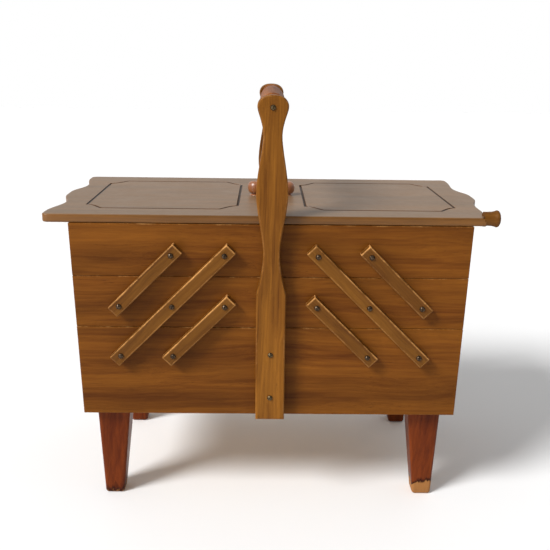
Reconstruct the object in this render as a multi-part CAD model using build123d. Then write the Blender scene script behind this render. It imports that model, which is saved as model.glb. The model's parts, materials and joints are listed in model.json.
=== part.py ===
from build123d import *
import os

# Cantilever sewing box on four legs. The base box carries two shaped uprights with a turned handle
# between them. On each side of the handle a middle tray and a top tray hang on parallel arms, and
# swing up and outwards to open the box. Each top tray has a hinged lid with a scalloped edge.
#
# Millimetres, +X to the right, +Y to the back, +Z up. The origin is on the floor, under the middle
# of the box. The left half is built and mirrored to the right, and the front is mirrored to the back.

# Body: the end walls lean outwards, the front and back are upright.
BODY_DEPTH = 250.0
HALF_WIDTH_FLOOR = 206.65
HALF_WIDTH_RIM = 212.4
BODY_FLOOR = 113.0
BASE_RIM = 215.0
MIDDLE_RIM = 272.0
TOP_RIM = 329.0
TIER_GAP = 0.35
CENTRE_GAP = 1.0
TRAY_SETBACK = 0.4
BOARD = 9.0
ARRIS = 0.5
CUT = 1.0
BASE_PLY = 6.0
TRAY_PLY = 4.0
DIVIDER_PLY = 5.0
DIVIDER_DROP = 9.0

# Legs: square, tapering on the inner side, with rounded corners.
LEG_TOP = 37.0
LEG_FOOT = 21.5
LEG_TOP_X = 176.3
LEG_FOOT_X = 181.15
LEG_Y = 93.0
LEG_CORNER = 3.0
LEG_SCREW_TIP = 85.0

# Uprights: half widths at the heights where the outline turns.
UPRIGHT_THICK = 14.0
UPRIGHT_HALF = 15.8
UPRIGHT_SHOULDER_Z = 256.0
LOWER_NECK = (8.8, 302.0)
BELLY = (16.4, 363.5)
UPPER_NECK = (9.6, 422.0)
HEAD = (15.7, 451.0)
UPRIGHT_TOP = 462.0
UPRIGHT_SCREW_Z = (139.0, 189.0)
UPRIGHT_ROUND = 1.5

# Handle: a turned bar with a bead near each end.
HANDLE_Z = 450.0
HANDLE_SWELL = 14.0
HANDLE_SHAFT = 11.6
HANDLE_BEAD = 12.6
HANDLE_GROOVE = 10.4
HANDLE_END = 11.4
SHAFT_HALF = 92.0
BEAD_LENGTH = 9.0
GROOVE_LENGTH = 2.0
HANDLE_SCREW_DEPTH = 20.0

# Arms: pivots stand on a square grid, so every arm lies at 45 degrees when the box is shut.
PIVOT_PITCH = 56.0
OUTER_PIVOT_X = 161.0
LOWER_PIVOT_Z = 185.5
ARM_WIDTH = 14.0
ARM_THICK = 10.0
ARM_PAST_PIVOT = 10.0
ARM_CHAMFER = 1.0
ARM_GAP = 0.5
ARM_ANGLE = 45.0

# Screws: round heads with a slot. The arms turn on their shanks.
SCREW_RADIUS = 2.0
SCREW_BITE = 7.5
HEAD_RADIUS = 2.9
HEAD_HEIGHT = 2.2
HEAD_EDGE = 0.4
SLOT_WIDTH = 0.9
SLOT_DEPTH = 0.9
HEAD_GAP = 0.3
FIXED_CLEARANCE = 0.02
RUNNING_CLEARANCE = 0.08
OPEN_PIVOT_CLEARANCE = 0.3
KNOB_SCREW_RADIUS = 1.6
KNOB_SCREW_BITE = 8.0

# Lids: corner ears and a middle bulge, with a shallow scallop between them. The back ears are shorter.
LID_THICK = 9.0
LID_HALF_DEPTH = 124.0
EAR_X = 240.0
BACK_EAR_X = {"left": 238.5, "right": 234.5}
EAR_CORNER = 6.5
EAR_HALF_DEPTH = 109.0
SCALLOP = (230.5, 56.0)
BULGE = (240.5, 9.0)
LID_ROUND = 1.2
GROOVE_OUTER_X = 205.0
GROOVE_INNER_X = 36.0
GROOVE_HALF_DEPTH = 91.0
GROOVE_CLIP = 20.0
GROOVE_WIDTH = 2.4
GROOVE_CUT = 1.2

# Knobs: one ball knob on each lid, and one more on the right lid's front ear.
KNOB_X = 18.75
KNOB_RADIUS = 9.0
KNOB_HEIGHT = 16.5
KNOB_NECK = 5.5
END_KNOB_X = (223.0, 240.5)
EAR_CUT_X = 230.0
END_KNOB_Y = -117.0
END_KNOB_RISE = 7.0
END_KNOB_NECK = 7.5
END_KNOB_RIM = 9.0
END_KNOB_RIM_AT = 0.78

# Hinges: two small butt hinges for each lid, on the end wall's top edge.
HINGE_Y = 75.0
HINGE_LENGTH = 40.0
HINGE_MIDDLE = 13.4
HINGE_OUT = 2.4
KNUCKLE_GAP = 0.3
KNUCKLE_RADIUS = 2.0
KNUCKLE_ROOM = 0.4
PIN_RADIUS = 0.9
PIN_BORE_RADIUS = 0.95
LEAF = 1.0
LEAF_WIDTH = 7.5
LEAF_AWAY = 2.5

# Worked out from the sizes above.
FRONT = -BODY_DEPTH / 2
TRAY_FRONT = FRONT + TRAY_SETBACK
MIDDLE_FLOOR = BASE_RIM + TIER_GAP
TOP_FLOOR = MIDDLE_RIM + TIER_GAP
LID_FLOOR = TOP_RIM + TIER_GAP
LID_TOP = LID_FLOOR + LID_THICK
ARM_BACK = FRONT - ARM_GAP
ARM_FRONT = ARM_BACK - ARM_THICK
PIVOT_SEAT = ARM_FRONT - HEAD_GAP
SCREW_TIP = FRONT + SCREW_BITE
UPRIGHT_FRONT = FRONT - UPRIGHT_THICK
HINGE_X = -(HALF_WIDTH_RIM + HINGE_OUT)
HINGE_Z = TOP_RIM + TIER_GAP / 2

# Pivots by letter, left side: A and B on the base, C, D and G on the middle tray, E and F on the
# top tray. The long arm holds A, C and F, the lower arm B and D, and the upper arm G and E.
GRID_X = [-OUTER_PIVOT_X + PIVOT_PITCH * step for step in range(3)]
GRID_Z = [LOWER_PIVOT_Z + PIVOT_PITCH * step for step in range(3)]
A, B = (GRID_X[0], GRID_Z[0]), (GRID_X[1], GRID_Z[0])
G, C, D = (GRID_X[0], GRID_Z[1]), (GRID_X[1], GRID_Z[1]), (GRID_X[2], GRID_Z[1])
E, F = (GRID_X[1], GRID_Z[2]), (GRID_X[2], GRID_Z[2])


def save(name, shape):
    """Writes one node as parts/NAME.step."""
    export_step(shape, os.path.join("parts", name + ".step"))


def to_right(shape):
    """The mirror image on the other side of the handle."""
    return mirror(shape, about=Plane.YZ)


def to_back(shape):
    """The mirror image on the other side of the middle of the depth."""
    return mirror(shape, about=Plane.XZ)


def end_x(z):
    """Half width of the body at height z."""
    share = (z - BODY_FLOOR) / (TOP_RIM - BODY_FLOOR)
    return HALF_WIDTH_FLOOR + (HALF_WIDTH_RIM - HALF_WIDTH_FLOOR) * share


def prism(corners, y_low, y_high):
    """A solid whose outline in X and Z is extruded along Y."""
    face = make_face(Plane.XZ.offset(-y_high) * Polyline(*corners, close=True))
    return extrude(face, amount=y_high - y_low, dir=(0, -1, 0))


def block(x, y, z):
    """A box from three (low, high) pairs."""
    centre = Pos(sum(x) / 2, sum(y) / 2, sum(z) / 2)
    return centre * Box(x[1] - x[0], y[1] - y[0], z[1] - z[0])


def bore(at, radius, y_low, y_high):
    """A cylinder along Y through the point (x, z)."""
    middle = Pos(at[0], (y_low + y_high) / 2, at[1])
    return middle * Cylinder(radius, y_high - y_low, rotation=(90, 0, 0))


def softened(board):
    """The board with its sharp edges taken off."""
    return chamfer(board.edges(), ARRIS)


def screw(length, radius=SCREW_RADIUS):
    """A round-headed screw, its shank down -Z from the seat at the origin."""
    cap = HEAD_HEIGHT - HEAD_EDGE
    ball = (HEAD_RADIUS ** 2 + cap ** 2) / (2 * cap)
    centre = Pos(0, 0, HEAD_HEIGHT - ball)
    head = Pos(0, 0, HEAD_HEIGHT / 2) * Cylinder(HEAD_RADIUS, HEAD_HEIGHT) & centre * Sphere(ball)
    shank = Pos(0, 0, -length / 2) * Cylinder(radius, length)
    low = HEAD_HEIGHT - SLOT_DEPTH
    slot = block((-HEAD_RADIUS, HEAD_RADIUS), (-SLOT_WIDTH / 2, SLOT_WIDTH / 2), (low, HEAD_HEIGHT))
    return head + shank - slot


def front_screws(points, seat, tip):
    """Screws driven in from the front at each (x, z), and their mirror images at the back."""
    driven = [Pos(x, seat, z) * Rot(90, 0, 0) * screw(tip - seat) for x, z in points]
    return driven + [to_back(one) for one in driven]


def drill(board, points, radius=SCREW_RADIUS + FIXED_CLEARANCE):
    """The front board with a blind screw hole at each (x, z)."""
    for at in points:
        board -= bore(at, radius, UPRIGHT_FRONT, SCREW_TIP)
    return board


def tray_outline(z_low, z_high):
    """Front view of one left tray between two heights."""
    outer = [(-end_x(z_high), z_high), (-end_x(z_low), z_low)]
    return [(-CENTRE_GAP, z_low), (-CENTRE_GAP, z_high)] + outer


def wall_outline(z_low, z_high):
    """Front view of a leaning left end wall."""
    outer = [(-end_x(z_high), z_high), (-end_x(z_low), z_low)]
    inner = [(x + BOARD, z) for x, z in reversed(outer)]
    return outer + inner


def build_base_box():
    """Front, back, ends and bottom of the fixed box."""
    full = [(end_x(BODY_FLOOR), BODY_FLOOR), (end_x(BASE_RIM), BASE_RIM)]
    full += [(-end_x(BASE_RIM), BASE_RIM), (-end_x(BODY_FLOOR), BODY_FLOOR)]
    holes = [A, B, (-A[0], A[1]), (-B[0], B[1])] + [(0, z) for z in UPRIGHT_SCREW_Z]
    front = drill(softened(prism(full, FRONT, FRONT + BOARD)), holes)
    inside = -FRONT - BOARD
    left = softened(prism(wall_outline(BODY_FLOOR, BASE_RIM), -inside, inside))
    top = BODY_FLOOR + BASE_PLY
    floor_half, top_half = end_x(BODY_FLOOR) - BOARD, end_x(top) - BOARD
    panel = [(floor_half, BODY_FLOOR), (top_half, top), (-top_half, top), (-floor_half, BODY_FLOOR)]
    bottom = prism(panel, -inside, inside)
    for x, y in leg_places():
        bottom -= Pos(x, y, top) * Cylinder(SCREW_RADIUS + FIXED_CLEARANCE, 3 * BASE_PLY)
    save("base_front_board", front)
    save("base_back_board", to_back(front))
    save("base_left_end", left)
    save("base_right_end", to_right(left))
    save("base_bottom_panel", bottom)


def leg_places():
    """Centres of the four legs' tops."""
    return [(x, y) for x in (-LEG_TOP_X, LEG_TOP_X) for y in (-LEG_Y, LEG_Y)]


def build_legs():
    """Four tapered legs, each held by a screw from inside the box."""
    foot = Pos(-LEG_FOOT_X, -LEG_Y, 0) * RectangleRounded(LEG_FOOT, LEG_FOOT, LEG_CORNER)
    top = Pos(-LEG_TOP_X, -LEG_Y, BODY_FLOOR) * RectangleRounded(LEG_TOP, LEG_TOP, LEG_CORNER)
    leg = loft([foot.face(), top.face()], ruled=True)
    depth = BODY_FLOOR - LEG_SCREW_TIP
    hole_centre = Pos(-LEG_TOP_X, -LEG_Y, BODY_FLOOR - depth / 2)
    leg -= hole_centre * Cylinder(SCREW_RADIUS + FIXED_CLEARANCE, depth)
    save("front_left_leg", leg)
    save("back_left_leg", to_back(leg))
    save("front_right_leg", to_right(leg))
    save("back_right_leg", to_back(to_right(leg)))
    seat = BODY_FLOOR + BASE_PLY
    screws = [Pos(x, y, seat) * screw(seat - LEG_SCREW_TIP) for x, y in leg_places()]
    save("leg_screws", Compound(children=screws))


def upright_outline():
    """Right-hand edge of the upright from its foot to its crown, then its mirror image."""
    up = (0, 1)
    shoulder = (UPRIGHT_HALF, UPRIGHT_SHOULDER_Z)
    turns = Spline(shoulder, LOWER_NECK, BELLY, UPPER_NECK, HEAD, tangents=[(-0.28, 1), up, up, up, up])
    crown = Spline(HEAD, (0, UPRIGHT_TOP), tangents=[up, (-1, 0)])
    right = [Line((UPRIGHT_HALF, BODY_FLOOR), shoulder), turns, crown]
    left = [mirror(edge, about=Plane.YZ) for edge in right]
    foot = Line((-UPRIGHT_HALF, BODY_FLOOR), (UPRIGHT_HALF, BODY_FLOOR))
    return Curve() + right + left + foot


def build_uprights():
    """The shaped boards in front and behind, which carry the handle."""
    face = make_face(Plane.XZ.offset(-FRONT) * upright_outline())
    upright = extrude(face, amount=UPRIGHT_THICK, dir=(0, -1, 0))
    outer_rim = upright.faces().sort_by(Axis.Y)[0].edges()
    upright = fillet(outer_rim, UPRIGHT_ROUND)
    holes = [(0, z) for z in UPRIGHT_SCREW_Z + (HANDLE_Z,)]
    for at in holes:
        upright -= bore(at, SCREW_RADIUS + FIXED_CLEARANCE, UPRIGHT_FRONT - CUT, FRONT + CUT)
    save("front_upright", upright)
    save("back_upright", to_back(upright))
    low = front_screws([(0, z) for z in UPRIGHT_SCREW_Z], UPRIGHT_FRONT, SCREW_TIP)
    high = front_screws([(0, HANDLE_Z)], UPRIGHT_FRONT, FRONT + HANDLE_SCREW_DEPTH)
    save("upright_screws", Compound(children=low + high))


def handle_profile():
    """Half of the turned bar: radius in X against distance from its middle in Z."""
    length = -FRONT
    bead_start = SHAFT_HALF + GROOVE_LENGTH
    bead_end = bead_start + BEAD_LENGTH
    end_start = bead_end + GROOVE_LENGTH
    bead_low, bead_high = (HANDLE_GROOVE, bead_start), (HANDLE_GROOVE, bead_end)
    crest = (HANDLE_BEAD, (bead_start + bead_end) / 2)
    shaft = Spline((HANDLE_SWELL, 0), (HANDLE_SHAFT, SHAFT_HALF), tangents=[(0, 1), (-0.02, 1)])
    first = Polyline((HANDLE_SHAFT, SHAFT_HALF), (HANDLE_GROOVE, SHAFT_HALF), bead_low)
    bead = ThreePointArc(bead_low, crest, bead_high)
    second = Polyline(bead_high, (HANDLE_GROOVE, end_start), (HANDLE_END, end_start), (HANDLE_END, length))
    middle = Polyline((HANDLE_END, length), (0, length), (0, 0), (HANDLE_SWELL, 0))
    return Curve() + [shaft, first, bead, second, middle]


def build_handle():
    """The turned bar that joins the two uprights."""
    half = revolve(make_face(Plane.XZ * handle_profile()), Axis.Z)
    bar = half + mirror(half, about=Plane.XY)
    bar = Pos(0, 0, HANDLE_Z) * Rot(90, 0, 0) * bar
    hole = bore((0, HANDLE_Z), SCREW_RADIUS + FIXED_CLEARANCE, FRONT - CUT, FRONT + HANDLE_SCREW_DEPTH)
    save("handle_bar", bar - hole - to_back(hole))


def arm(start, end, holes):
    """A front arm from one pivot to another, with a bore of the given radius at each pivot in holes."""
    run = Vector(*end) - Vector(*start)
    middle = (Vector(*start) + Vector(*end)) / 2
    length = run.length + 2 * ARM_PAST_PIVOT
    bar = chamfer(Box(length, ARM_THICK, ARM_WIDTH).edges(), ARM_CHAMFER)
    bar = Pos(middle.X, (ARM_FRONT + ARM_BACK) / 2, middle.Y) * Rot(0, -ARM_ANGLE, 0) * bar
    for at, clearance in holes:
        bar -= bore(at, SCREW_RADIUS + clearance, ARM_FRONT - CUT, ARM_BACK + CUT)
    return bar


def build_arms(side, place):
    """Long arms that lift both trays, and the short arms that keep them level."""
    run, loose = RUNNING_CLEARANCE, OPEN_PIVOT_CLEARANCE
    long_arm = place(arm(A, F, [(A, run), (C, run), (F, run)]))
    lower = place(arm(B, D, [(B, run), (D, loose)]))
    upper = place(arm(G, E, [(G, run), (E, loose)]))
    save(side + "_front_long_arm", long_arm)
    save(side + "_back_long_arm", to_back(long_arm))
    save(side + "_lower_arms", Compound(children=[lower, to_back(lower)]))
    save(side + "_upper_arms", Compound(children=[upper, to_back(upper)]))


def pivot_screws(points):
    """Screws that the arms turn on, front and back."""
    return front_screws(points, PIVOT_SEAT, SCREW_TIP)


def build_tray(side, name, place, z_low, z_high, pivots, mortises=()):
    """One tray: two long boards, a leaning outer end, an upright inner end and a thin bottom."""
    inside = -TRAY_FRONT - BOARD
    front = drill(softened(prism(tray_outline(z_low, z_high), TRAY_FRONT, TRAY_FRONT + BOARD)), pivots)
    outer = softened(prism(wall_outline(z_low, z_high), -inside, inside))
    for mortise in mortises:
        outer -= mortise
    inner = softened(block((-CENTRE_GAP - BOARD, -CENTRE_GAP), (-inside, inside), (z_low, z_high)))
    top = z_low + TRAY_PLY
    low_x, top_x = BOARD - end_x(z_low), BOARD - end_x(top)
    right_x = -CENTRE_GAP - BOARD
    bottom = prism([(low_x, z_low), (right_x, z_low), (right_x, top), (top_x, top)], -inside, inside)
    label = side + "_" + name + "_tray_"
    save(label + "front_board", place(front))
    save(label + "back_board", place(to_back(front)))
    save(label + "outer_end", place(outer))
    save(label + "inner_end", place(inner))
    save(label + "bottom", place(bottom))
    save(label + "pivot_screws", Compound(children=[place(one) for one in pivot_screws(pivots)]))


def build_divider(side, place):
    """A cross partition in the top tray, let in between its long boards."""
    inside = -TRAY_FRONT - BOARD
    x = -(end_x(TOP_RIM) + CENTRE_GAP) / 2
    z = (TOP_FLOOR + TRAY_PLY, TOP_RIM - DIVIDER_DROP)
    half = DIVIDER_PLY / 2
    save(side + "_top_tray_divider", place(block((x - half, x + half), (-inside, inside), z)))


def hinge_axis_rod(radius, y_low, y_high):
    """A cylinder on the lid's hinge axis."""
    return bore((HINGE_X, HINGE_Z), radius, y_low, y_high)


def leaf(y, length, z_low, x_outer):
    """A flat hinge leaf from x_outer to the leaf's inner edge."""
    x_inner = HINGE_X + LEAF_AWAY + LEAF_WIDTH
    return block((x_outer, x_inner), (y - length / 2, y + length / 2), (z_low, z_low + LEAF))


def tray_leaf(y):
    """The leaf on the end wall, with the two outer knuckles and the pin."""
    low, high = y - HINGE_LENGTH / 2, y + HINGE_LENGTH / 2
    knuckle = (HINGE_LENGTH - HINGE_MIDDLE) / 2 - KNUCKLE_GAP
    shape = leaf(y, HINGE_LENGTH, TOP_RIM - LEAF, HINGE_X + LEAF_AWAY)
    for start in (low, high - knuckle):
        shape += hinge_axis_rod(KNUCKLE_RADIUS, start, start + knuckle)
        shape += leaf(start + knuckle / 2, knuckle, TOP_RIM - LEAF, HINGE_X)
    return shape + hinge_axis_rod(PIN_RADIUS, low, high)


def lid_leaf(y):
    """The leaf under the lid, with the middle knuckle and its bore."""
    half = HINGE_MIDDLE / 2
    shape = leaf(y, HINGE_LENGTH, LID_FLOOR, HINGE_X + LEAF_AWAY)
    shape += leaf(y, HINGE_MIDDLE, LID_FLOOR, HINGE_X)
    shape += hinge_axis_rod(KNUCKLE_RADIUS, y - half, y + half)
    return shape - hinge_axis_rod(PIN_BORE_RADIUS, y - half - CUT, y + half + CUT)


def mortise(y, z_low, z_high):
    """Room for a leaf, open towards the outside and a little longer than the leaf."""
    half = HINGE_LENGTH / 2 + KNUCKLE_ROOM
    inner = HINGE_X + LEAF_AWAY + LEAF_WIDTH + FIXED_CLEARANCE
    return block((HINGE_X, inner), (y - half, y + half), (z_low, z_high))


def build_hinges(side, place):
    """Two butt hinges, as the leaves on the tray and the leaves on the lid."""
    places = (-HINGE_Y, HINGE_Y)
    save(side + "_hinge_tray_leaves", Compound(children=[place(tray_leaf(y)) for y in places]))
    save(side + "_hinge_lid_leaves", Compound(children=[place(lid_leaf(y)) for y in places]))


def lid_front_half(ear_x):
    """Front half of the left lid's plan, whose ear reaches out to ear_x."""
    along = (0, 1)
    corner = ear_x - EAR_CORNER
    side = LID_HALF_DEPTH
    tip = side - EAR_CORNER
    edges = [Line((-CENTRE_GAP, -side), (-corner, -side)), Line((-ear_x, -tip), (-ear_x, -EAR_HALF_DEPTH))]
    edges += [TangentArc((-corner, -side), (-ear_x, -tip), tangent=(-1, 0))]
    ear, scallop, bulge = (-ear_x, -EAR_HALF_DEPTH), (-SCALLOP[0], -SCALLOP[1]), (-BULGE[0], -BULGE[1])
    return edges + [Spline(ear, scallop, bulge, tangents=[along, along, along])]


def lid_outline(back_ear_x):
    """Plan of the left lid: straight on three sides, ears, scallops and a bulge on the outer one."""
    back = [mirror(edge, about=Plane.XZ) for edge in lid_front_half(back_ear_x)]
    bulge = Line((-BULGE[0], -BULGE[1]), (-BULGE[0], BULGE[1]))
    inner = Line((-CENTRE_GAP, -LID_HALF_DEPTH), (-CENTRE_GAP, LID_HALF_DEPTH))
    return Curve() + lid_front_half(EAR_X) + back + [bulge, inner]


def clipped_rectangle(inset):
    """Plan of the lid's groove, moved inwards by inset: a rectangle with its corners cut off."""
    low, high = -GROOVE_OUTER_X + inset, -GROOVE_INNER_X - inset
    side = GROOVE_HALF_DEPTH - inset
    clip = GROOVE_CLIP - (2 - 2 ** 0.5) * inset
    corners = [(low + clip, -side), (high - clip, -side), (high, clip - side), (high, side - clip)]
    corners += [(high - clip, side), (low + clip, side), (low, side - clip), (low, clip - side)]
    return make_face(Polyline(*corners, close=True))


def build_lid(side, place, cut_ear=None):
    """Lid board with its groove, hinge mortises and the hole for the knob's screw."""
    plan = make_face(lid_outline(BACK_EAR_X[side]))
    board = extrude(Pos(0, 0, LID_FLOOR) * plan, amount=LID_THICK)
    board = fillet(board.faces().sort_by(Axis.Z)[-1].edges(), LID_ROUND)
    ring = clipped_rectangle(0) - clipped_rectangle(GROOVE_WIDTH)
    board -= extrude(Pos(0, 0, LID_TOP - GROOVE_CUT) * ring, amount=2 * GROOVE_CUT)
    half = HINGE_LENGTH / 2 + KNUCKLE_ROOM
    for y in (-HINGE_Y, HINGE_Y):
        board -= mortise(y, LID_FLOOR - LEAF, LID_FLOOR + LEAF)
        board -= hinge_axis_rod(KNUCKLE_RADIUS + KNUCKLE_ROOM, y - half, y + half)
    recess = HEAD_HEIGHT + HEAD_GAP
    board -= Pos(-KNOB_X, 0, LID_FLOOR) * Cylinder(HEAD_RADIUS + HEAD_GAP, 2 * recess)
    board -= Pos(-KNOB_X, 0, LID_TOP) * Cylinder(KNOB_SCREW_RADIUS + FIXED_CLEARANCE, 3 * LID_THICK)
    board = place(board)
    if cut_ear:
        board -= cut_ear
    save(side + "_lid_panel", board)


def build_knob(side, place):
    """The ball knob near the lid's inner edge, and the screw that holds it from below."""
    ball = KNOB_HEIGHT - KNOB_RADIUS
    neck_z = ball - (KNOB_RADIUS ** 2 - KNOB_NECK ** 2) ** 0.5
    outline = Polyline((KNOB_NECK, neck_z), (KNOB_NECK, 0), (0, 0), (0, KNOB_HEIGHT))
    outline += ThreePointArc((0, KNOB_HEIGHT), (KNOB_RADIUS, ball), (KNOB_NECK, neck_z))
    knob = revolve(make_face(Plane.XZ * outline), Axis.Z)
    knob -= Pos(0, 0, KNOB_SCREW_BITE / 2) * Cylinder(KNOB_SCREW_RADIUS + FIXED_CLEARANCE, KNOB_SCREW_BITE)
    save(side + "_lid_knob", place(Pos(-KNOB_X, 0, LID_TOP) * knob))
    seat = LID_FLOOR + HEAD_HEIGHT + HEAD_GAP
    length = LID_TOP + KNOB_SCREW_BITE - seat
    driver = Pos(-KNOB_X, 0, seat) * Rot(180, 0, 0) * screw(length, KNOB_SCREW_RADIUS)
    save(side + "_knob_screw", place(driver))


def end_knob_outline():
    """Half section of the knob on the right lid's ear, along +Z from its shoulder."""
    length = END_KNOB_X[1] - END_KNOB_X[0]
    rim = END_KNOB_RIM_AT * length
    neck = Spline((END_KNOB_NECK, 0), (END_KNOB_RIM, rim), tangents=[(0, 1), (0.9, 1)])
    dome = Spline((END_KNOB_RIM, rim), (0, length), tangents=[(0.1, 1), (-1, 0)])
    back = Polyline((0, length), (0, 0), (END_KNOB_NECK, 0))
    return Curve() + [neck, dome, back]


def build_end_knob():
    """The turned knob at the end of the right lid's front ear, and the wood cut away for it."""
    knob = revolve(make_face(Plane.XZ * end_knob_outline()), Axis.Z)
    middle = Pos(END_KNOB_X[0], END_KNOB_Y, LID_FLOOR + END_KNOB_RISE)
    save("right_lid_end_knob", middle * Rot(0, 90, 0) * knob)
    shoulder, beyond = END_KNOB_Y + END_KNOB_RIM, BULGE[0] + EAR_CORNER
    corners = [(END_KNOB_X[0], -LID_HALF_DEPTH), (END_KNOB_X[0], shoulder)]
    corners += [(EAR_CUT_X, shoulder + EAR_CORNER), (SCALLOP[0], -SCALLOP[1])]
    corners += [(beyond, -SCALLOP[1]), (beyond, -LID_HALF_DEPTH)]
    plan = make_face(Polyline(*corners, close=True))
    return extrude(Pos(0, 0, LID_FLOOR) * plan, amount=LID_THICK, dir=(0, 0, 1))


def build_side(side, place, cut_ear=None):
    """Everything that swings out on one side of the handle."""
    build_arms(side, place)
    build_tray(side, "middle", place, MIDDLE_FLOOR, MIDDLE_RIM, [G, C, D])
    leaf_rooms = [mortise(y, TOP_RIM - LEAF, TOP_RIM + LEAF) for y in (-HINGE_Y, HINGE_Y)]
    build_tray(side, "top", place, TOP_FLOOR, TOP_RIM, [E, F], leaf_rooms)
    build_divider(side, place)
    build_hinges(side, place)
    build_lid(side, place, cut_ear)
    build_knob(side, place)


def build_base_pivot_screws():
    """The screws at A and B on both sides, front and back."""
    left = pivot_screws([A, B])
    save("base_pivot_screws", Compound(children=left + [to_right(one) for one in left]))


def main():
    os.makedirs("parts", exist_ok=True)
    build_base_box()
    build_legs()
    build_uprights()
    build_handle()
    build_base_pivot_screws()
    build_side("left", lambda shape: shape)
    build_side("right", to_right, build_end_knob())


main()
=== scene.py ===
import json
import math
import random

import bmesh
import bpy
from bpy.props import FloatProperty, FloatVectorProperty, IntProperty, PointerProperty
from mathutils import Matrix, Vector


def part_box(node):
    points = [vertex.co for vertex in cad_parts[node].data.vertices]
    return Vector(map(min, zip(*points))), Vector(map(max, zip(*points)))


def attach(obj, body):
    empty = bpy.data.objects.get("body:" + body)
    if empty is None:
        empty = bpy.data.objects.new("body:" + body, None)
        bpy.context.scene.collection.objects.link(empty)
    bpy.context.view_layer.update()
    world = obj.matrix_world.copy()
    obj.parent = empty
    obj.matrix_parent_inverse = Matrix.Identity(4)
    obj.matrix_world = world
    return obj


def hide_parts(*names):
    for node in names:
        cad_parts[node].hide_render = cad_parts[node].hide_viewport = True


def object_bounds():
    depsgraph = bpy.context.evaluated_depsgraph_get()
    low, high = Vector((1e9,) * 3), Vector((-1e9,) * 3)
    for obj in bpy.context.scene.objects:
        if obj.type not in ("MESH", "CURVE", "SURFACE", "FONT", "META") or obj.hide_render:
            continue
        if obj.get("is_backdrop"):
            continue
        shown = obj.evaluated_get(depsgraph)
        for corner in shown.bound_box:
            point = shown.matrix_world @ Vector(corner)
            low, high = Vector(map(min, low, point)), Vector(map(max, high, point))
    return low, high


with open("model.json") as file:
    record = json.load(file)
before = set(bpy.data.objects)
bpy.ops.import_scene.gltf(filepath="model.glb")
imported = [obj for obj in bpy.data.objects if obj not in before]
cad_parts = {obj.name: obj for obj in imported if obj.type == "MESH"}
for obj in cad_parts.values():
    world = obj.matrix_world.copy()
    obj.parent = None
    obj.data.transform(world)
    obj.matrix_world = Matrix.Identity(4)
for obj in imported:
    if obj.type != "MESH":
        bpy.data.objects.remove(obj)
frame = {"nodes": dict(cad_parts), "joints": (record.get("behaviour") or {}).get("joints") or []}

bl_info = {
    "name": "Sewing box on legs",
    "version": (1, 0, 0),
    "blender": (4, 5, 0),
    "location": "View3D > Sidebar > Sewing Box",
    "description": "Finishes a wooden cantilever sewing box: boards, arms, lids, turned parts, screws",
    "category": "Object",
}

MM = 0.001
SIDES = ("left", "right")
LEANS = {"left": -1, "right": 1}
TRAYS = ("middle", "top")
RIM = "edge"
CUT = "cut"
GRAIN = "grain"
SCUFF = "scuff"
CAD_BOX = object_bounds()
HANDLE_END_LENGTH = 20 * MM
HANDLE_GROOVE_LENGTH = 2 * MM
HANDLE_BEAD_LENGTH = 9 * MM
WEAR_ON_FACE = 0.35 * MM
CAMERA_PLACE = (-0.00735, -0.92236, 0.50423)
CAMERA_TURNS = ((-0.82, "Z"), (90 - 16.05, "X"), (0.76, "Z"))
KEY_WAY = (0.74, 0.55, -0.80)
KEY_SPREAD = 20
FILL_PLACE, FILL_AIM, FILL_SIDE = (-1.0, -1.1, 0.3), (-0.1, 0, 0.2), 0.7
FLOOR_TONES = (0.88, 0.88, 0.88, 1), (0.91, 0.91, 0.91, 1)


def size(name, text, default, unit="LENGTH"):
    """A length property in metres."""
    return FloatProperty(name=name, description=text, default=default, unit=unit, precision=5)


def colour(name, text, default):
    """A linear colour property."""
    limits = {"size": 3, "min": 0, "max": 1}
    return FloatVectorProperty(name=name, description=text, default=default, subtype="COLOR", **limits)


# Sizes and colours that a user would change.

class BoardSizes(bpy.types.PropertyGroup):
    """Sizes shared by the boards of the base box and the trays."""
    arris: size("Arris", "Radius of the softened edges of the boards", 0.6 * MM)
    band: size("Wear band", "Width over which wear fades from an edge", 2.2 * MM)
    lean: FloatProperty(name="Lean", default=0.02662,
                        description="How far an end wall leans outwards for each unit of height")


class TrimSizes(bpy.types.PropertyGroup):
    """Sizes of the uprights and of the arms."""
    shoulder_half: size("Shoulder", "Half width of an upright's straight foot", 15.8 * MM)
    shoulder_z: size("Shoulder height", "Height where the straight foot ends", 256 * MM)
    lower_neck: size("Lower neck", "Half width of the lower neck", 8.8 * MM)
    lower_neck_z: size("Lower neck height", "Height of the lower neck", 302 * MM)
    belly: size("Belly", "Half width of the belly", 16.4 * MM)
    belly_z: size("Belly height", "Height of the belly", 363.5 * MM)
    upper_neck: size("Upper neck", "Half width of the upper neck", 9.6 * MM)
    upper_neck_z: size("Upper neck height", "Height of the upper neck", 422 * MM)
    head: size("Head", "Half width of the head", 15.7 * MM)
    head_z: size("Head height", "Height of the head's widest place", 451 * MM)
    round_over: size("Round-over", "Radius of the edges of the uprights", 1.5 * MM)
    arm_width: size("Arm width", "Width of an arm", 14 * MM)
    arm_end: size("Arm end", "How far an arm runs on past its last pivot", 10 * MM)
    arm_round: size("Arm edge", "Radius of an arm's edges", 0.9 * MM)


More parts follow.
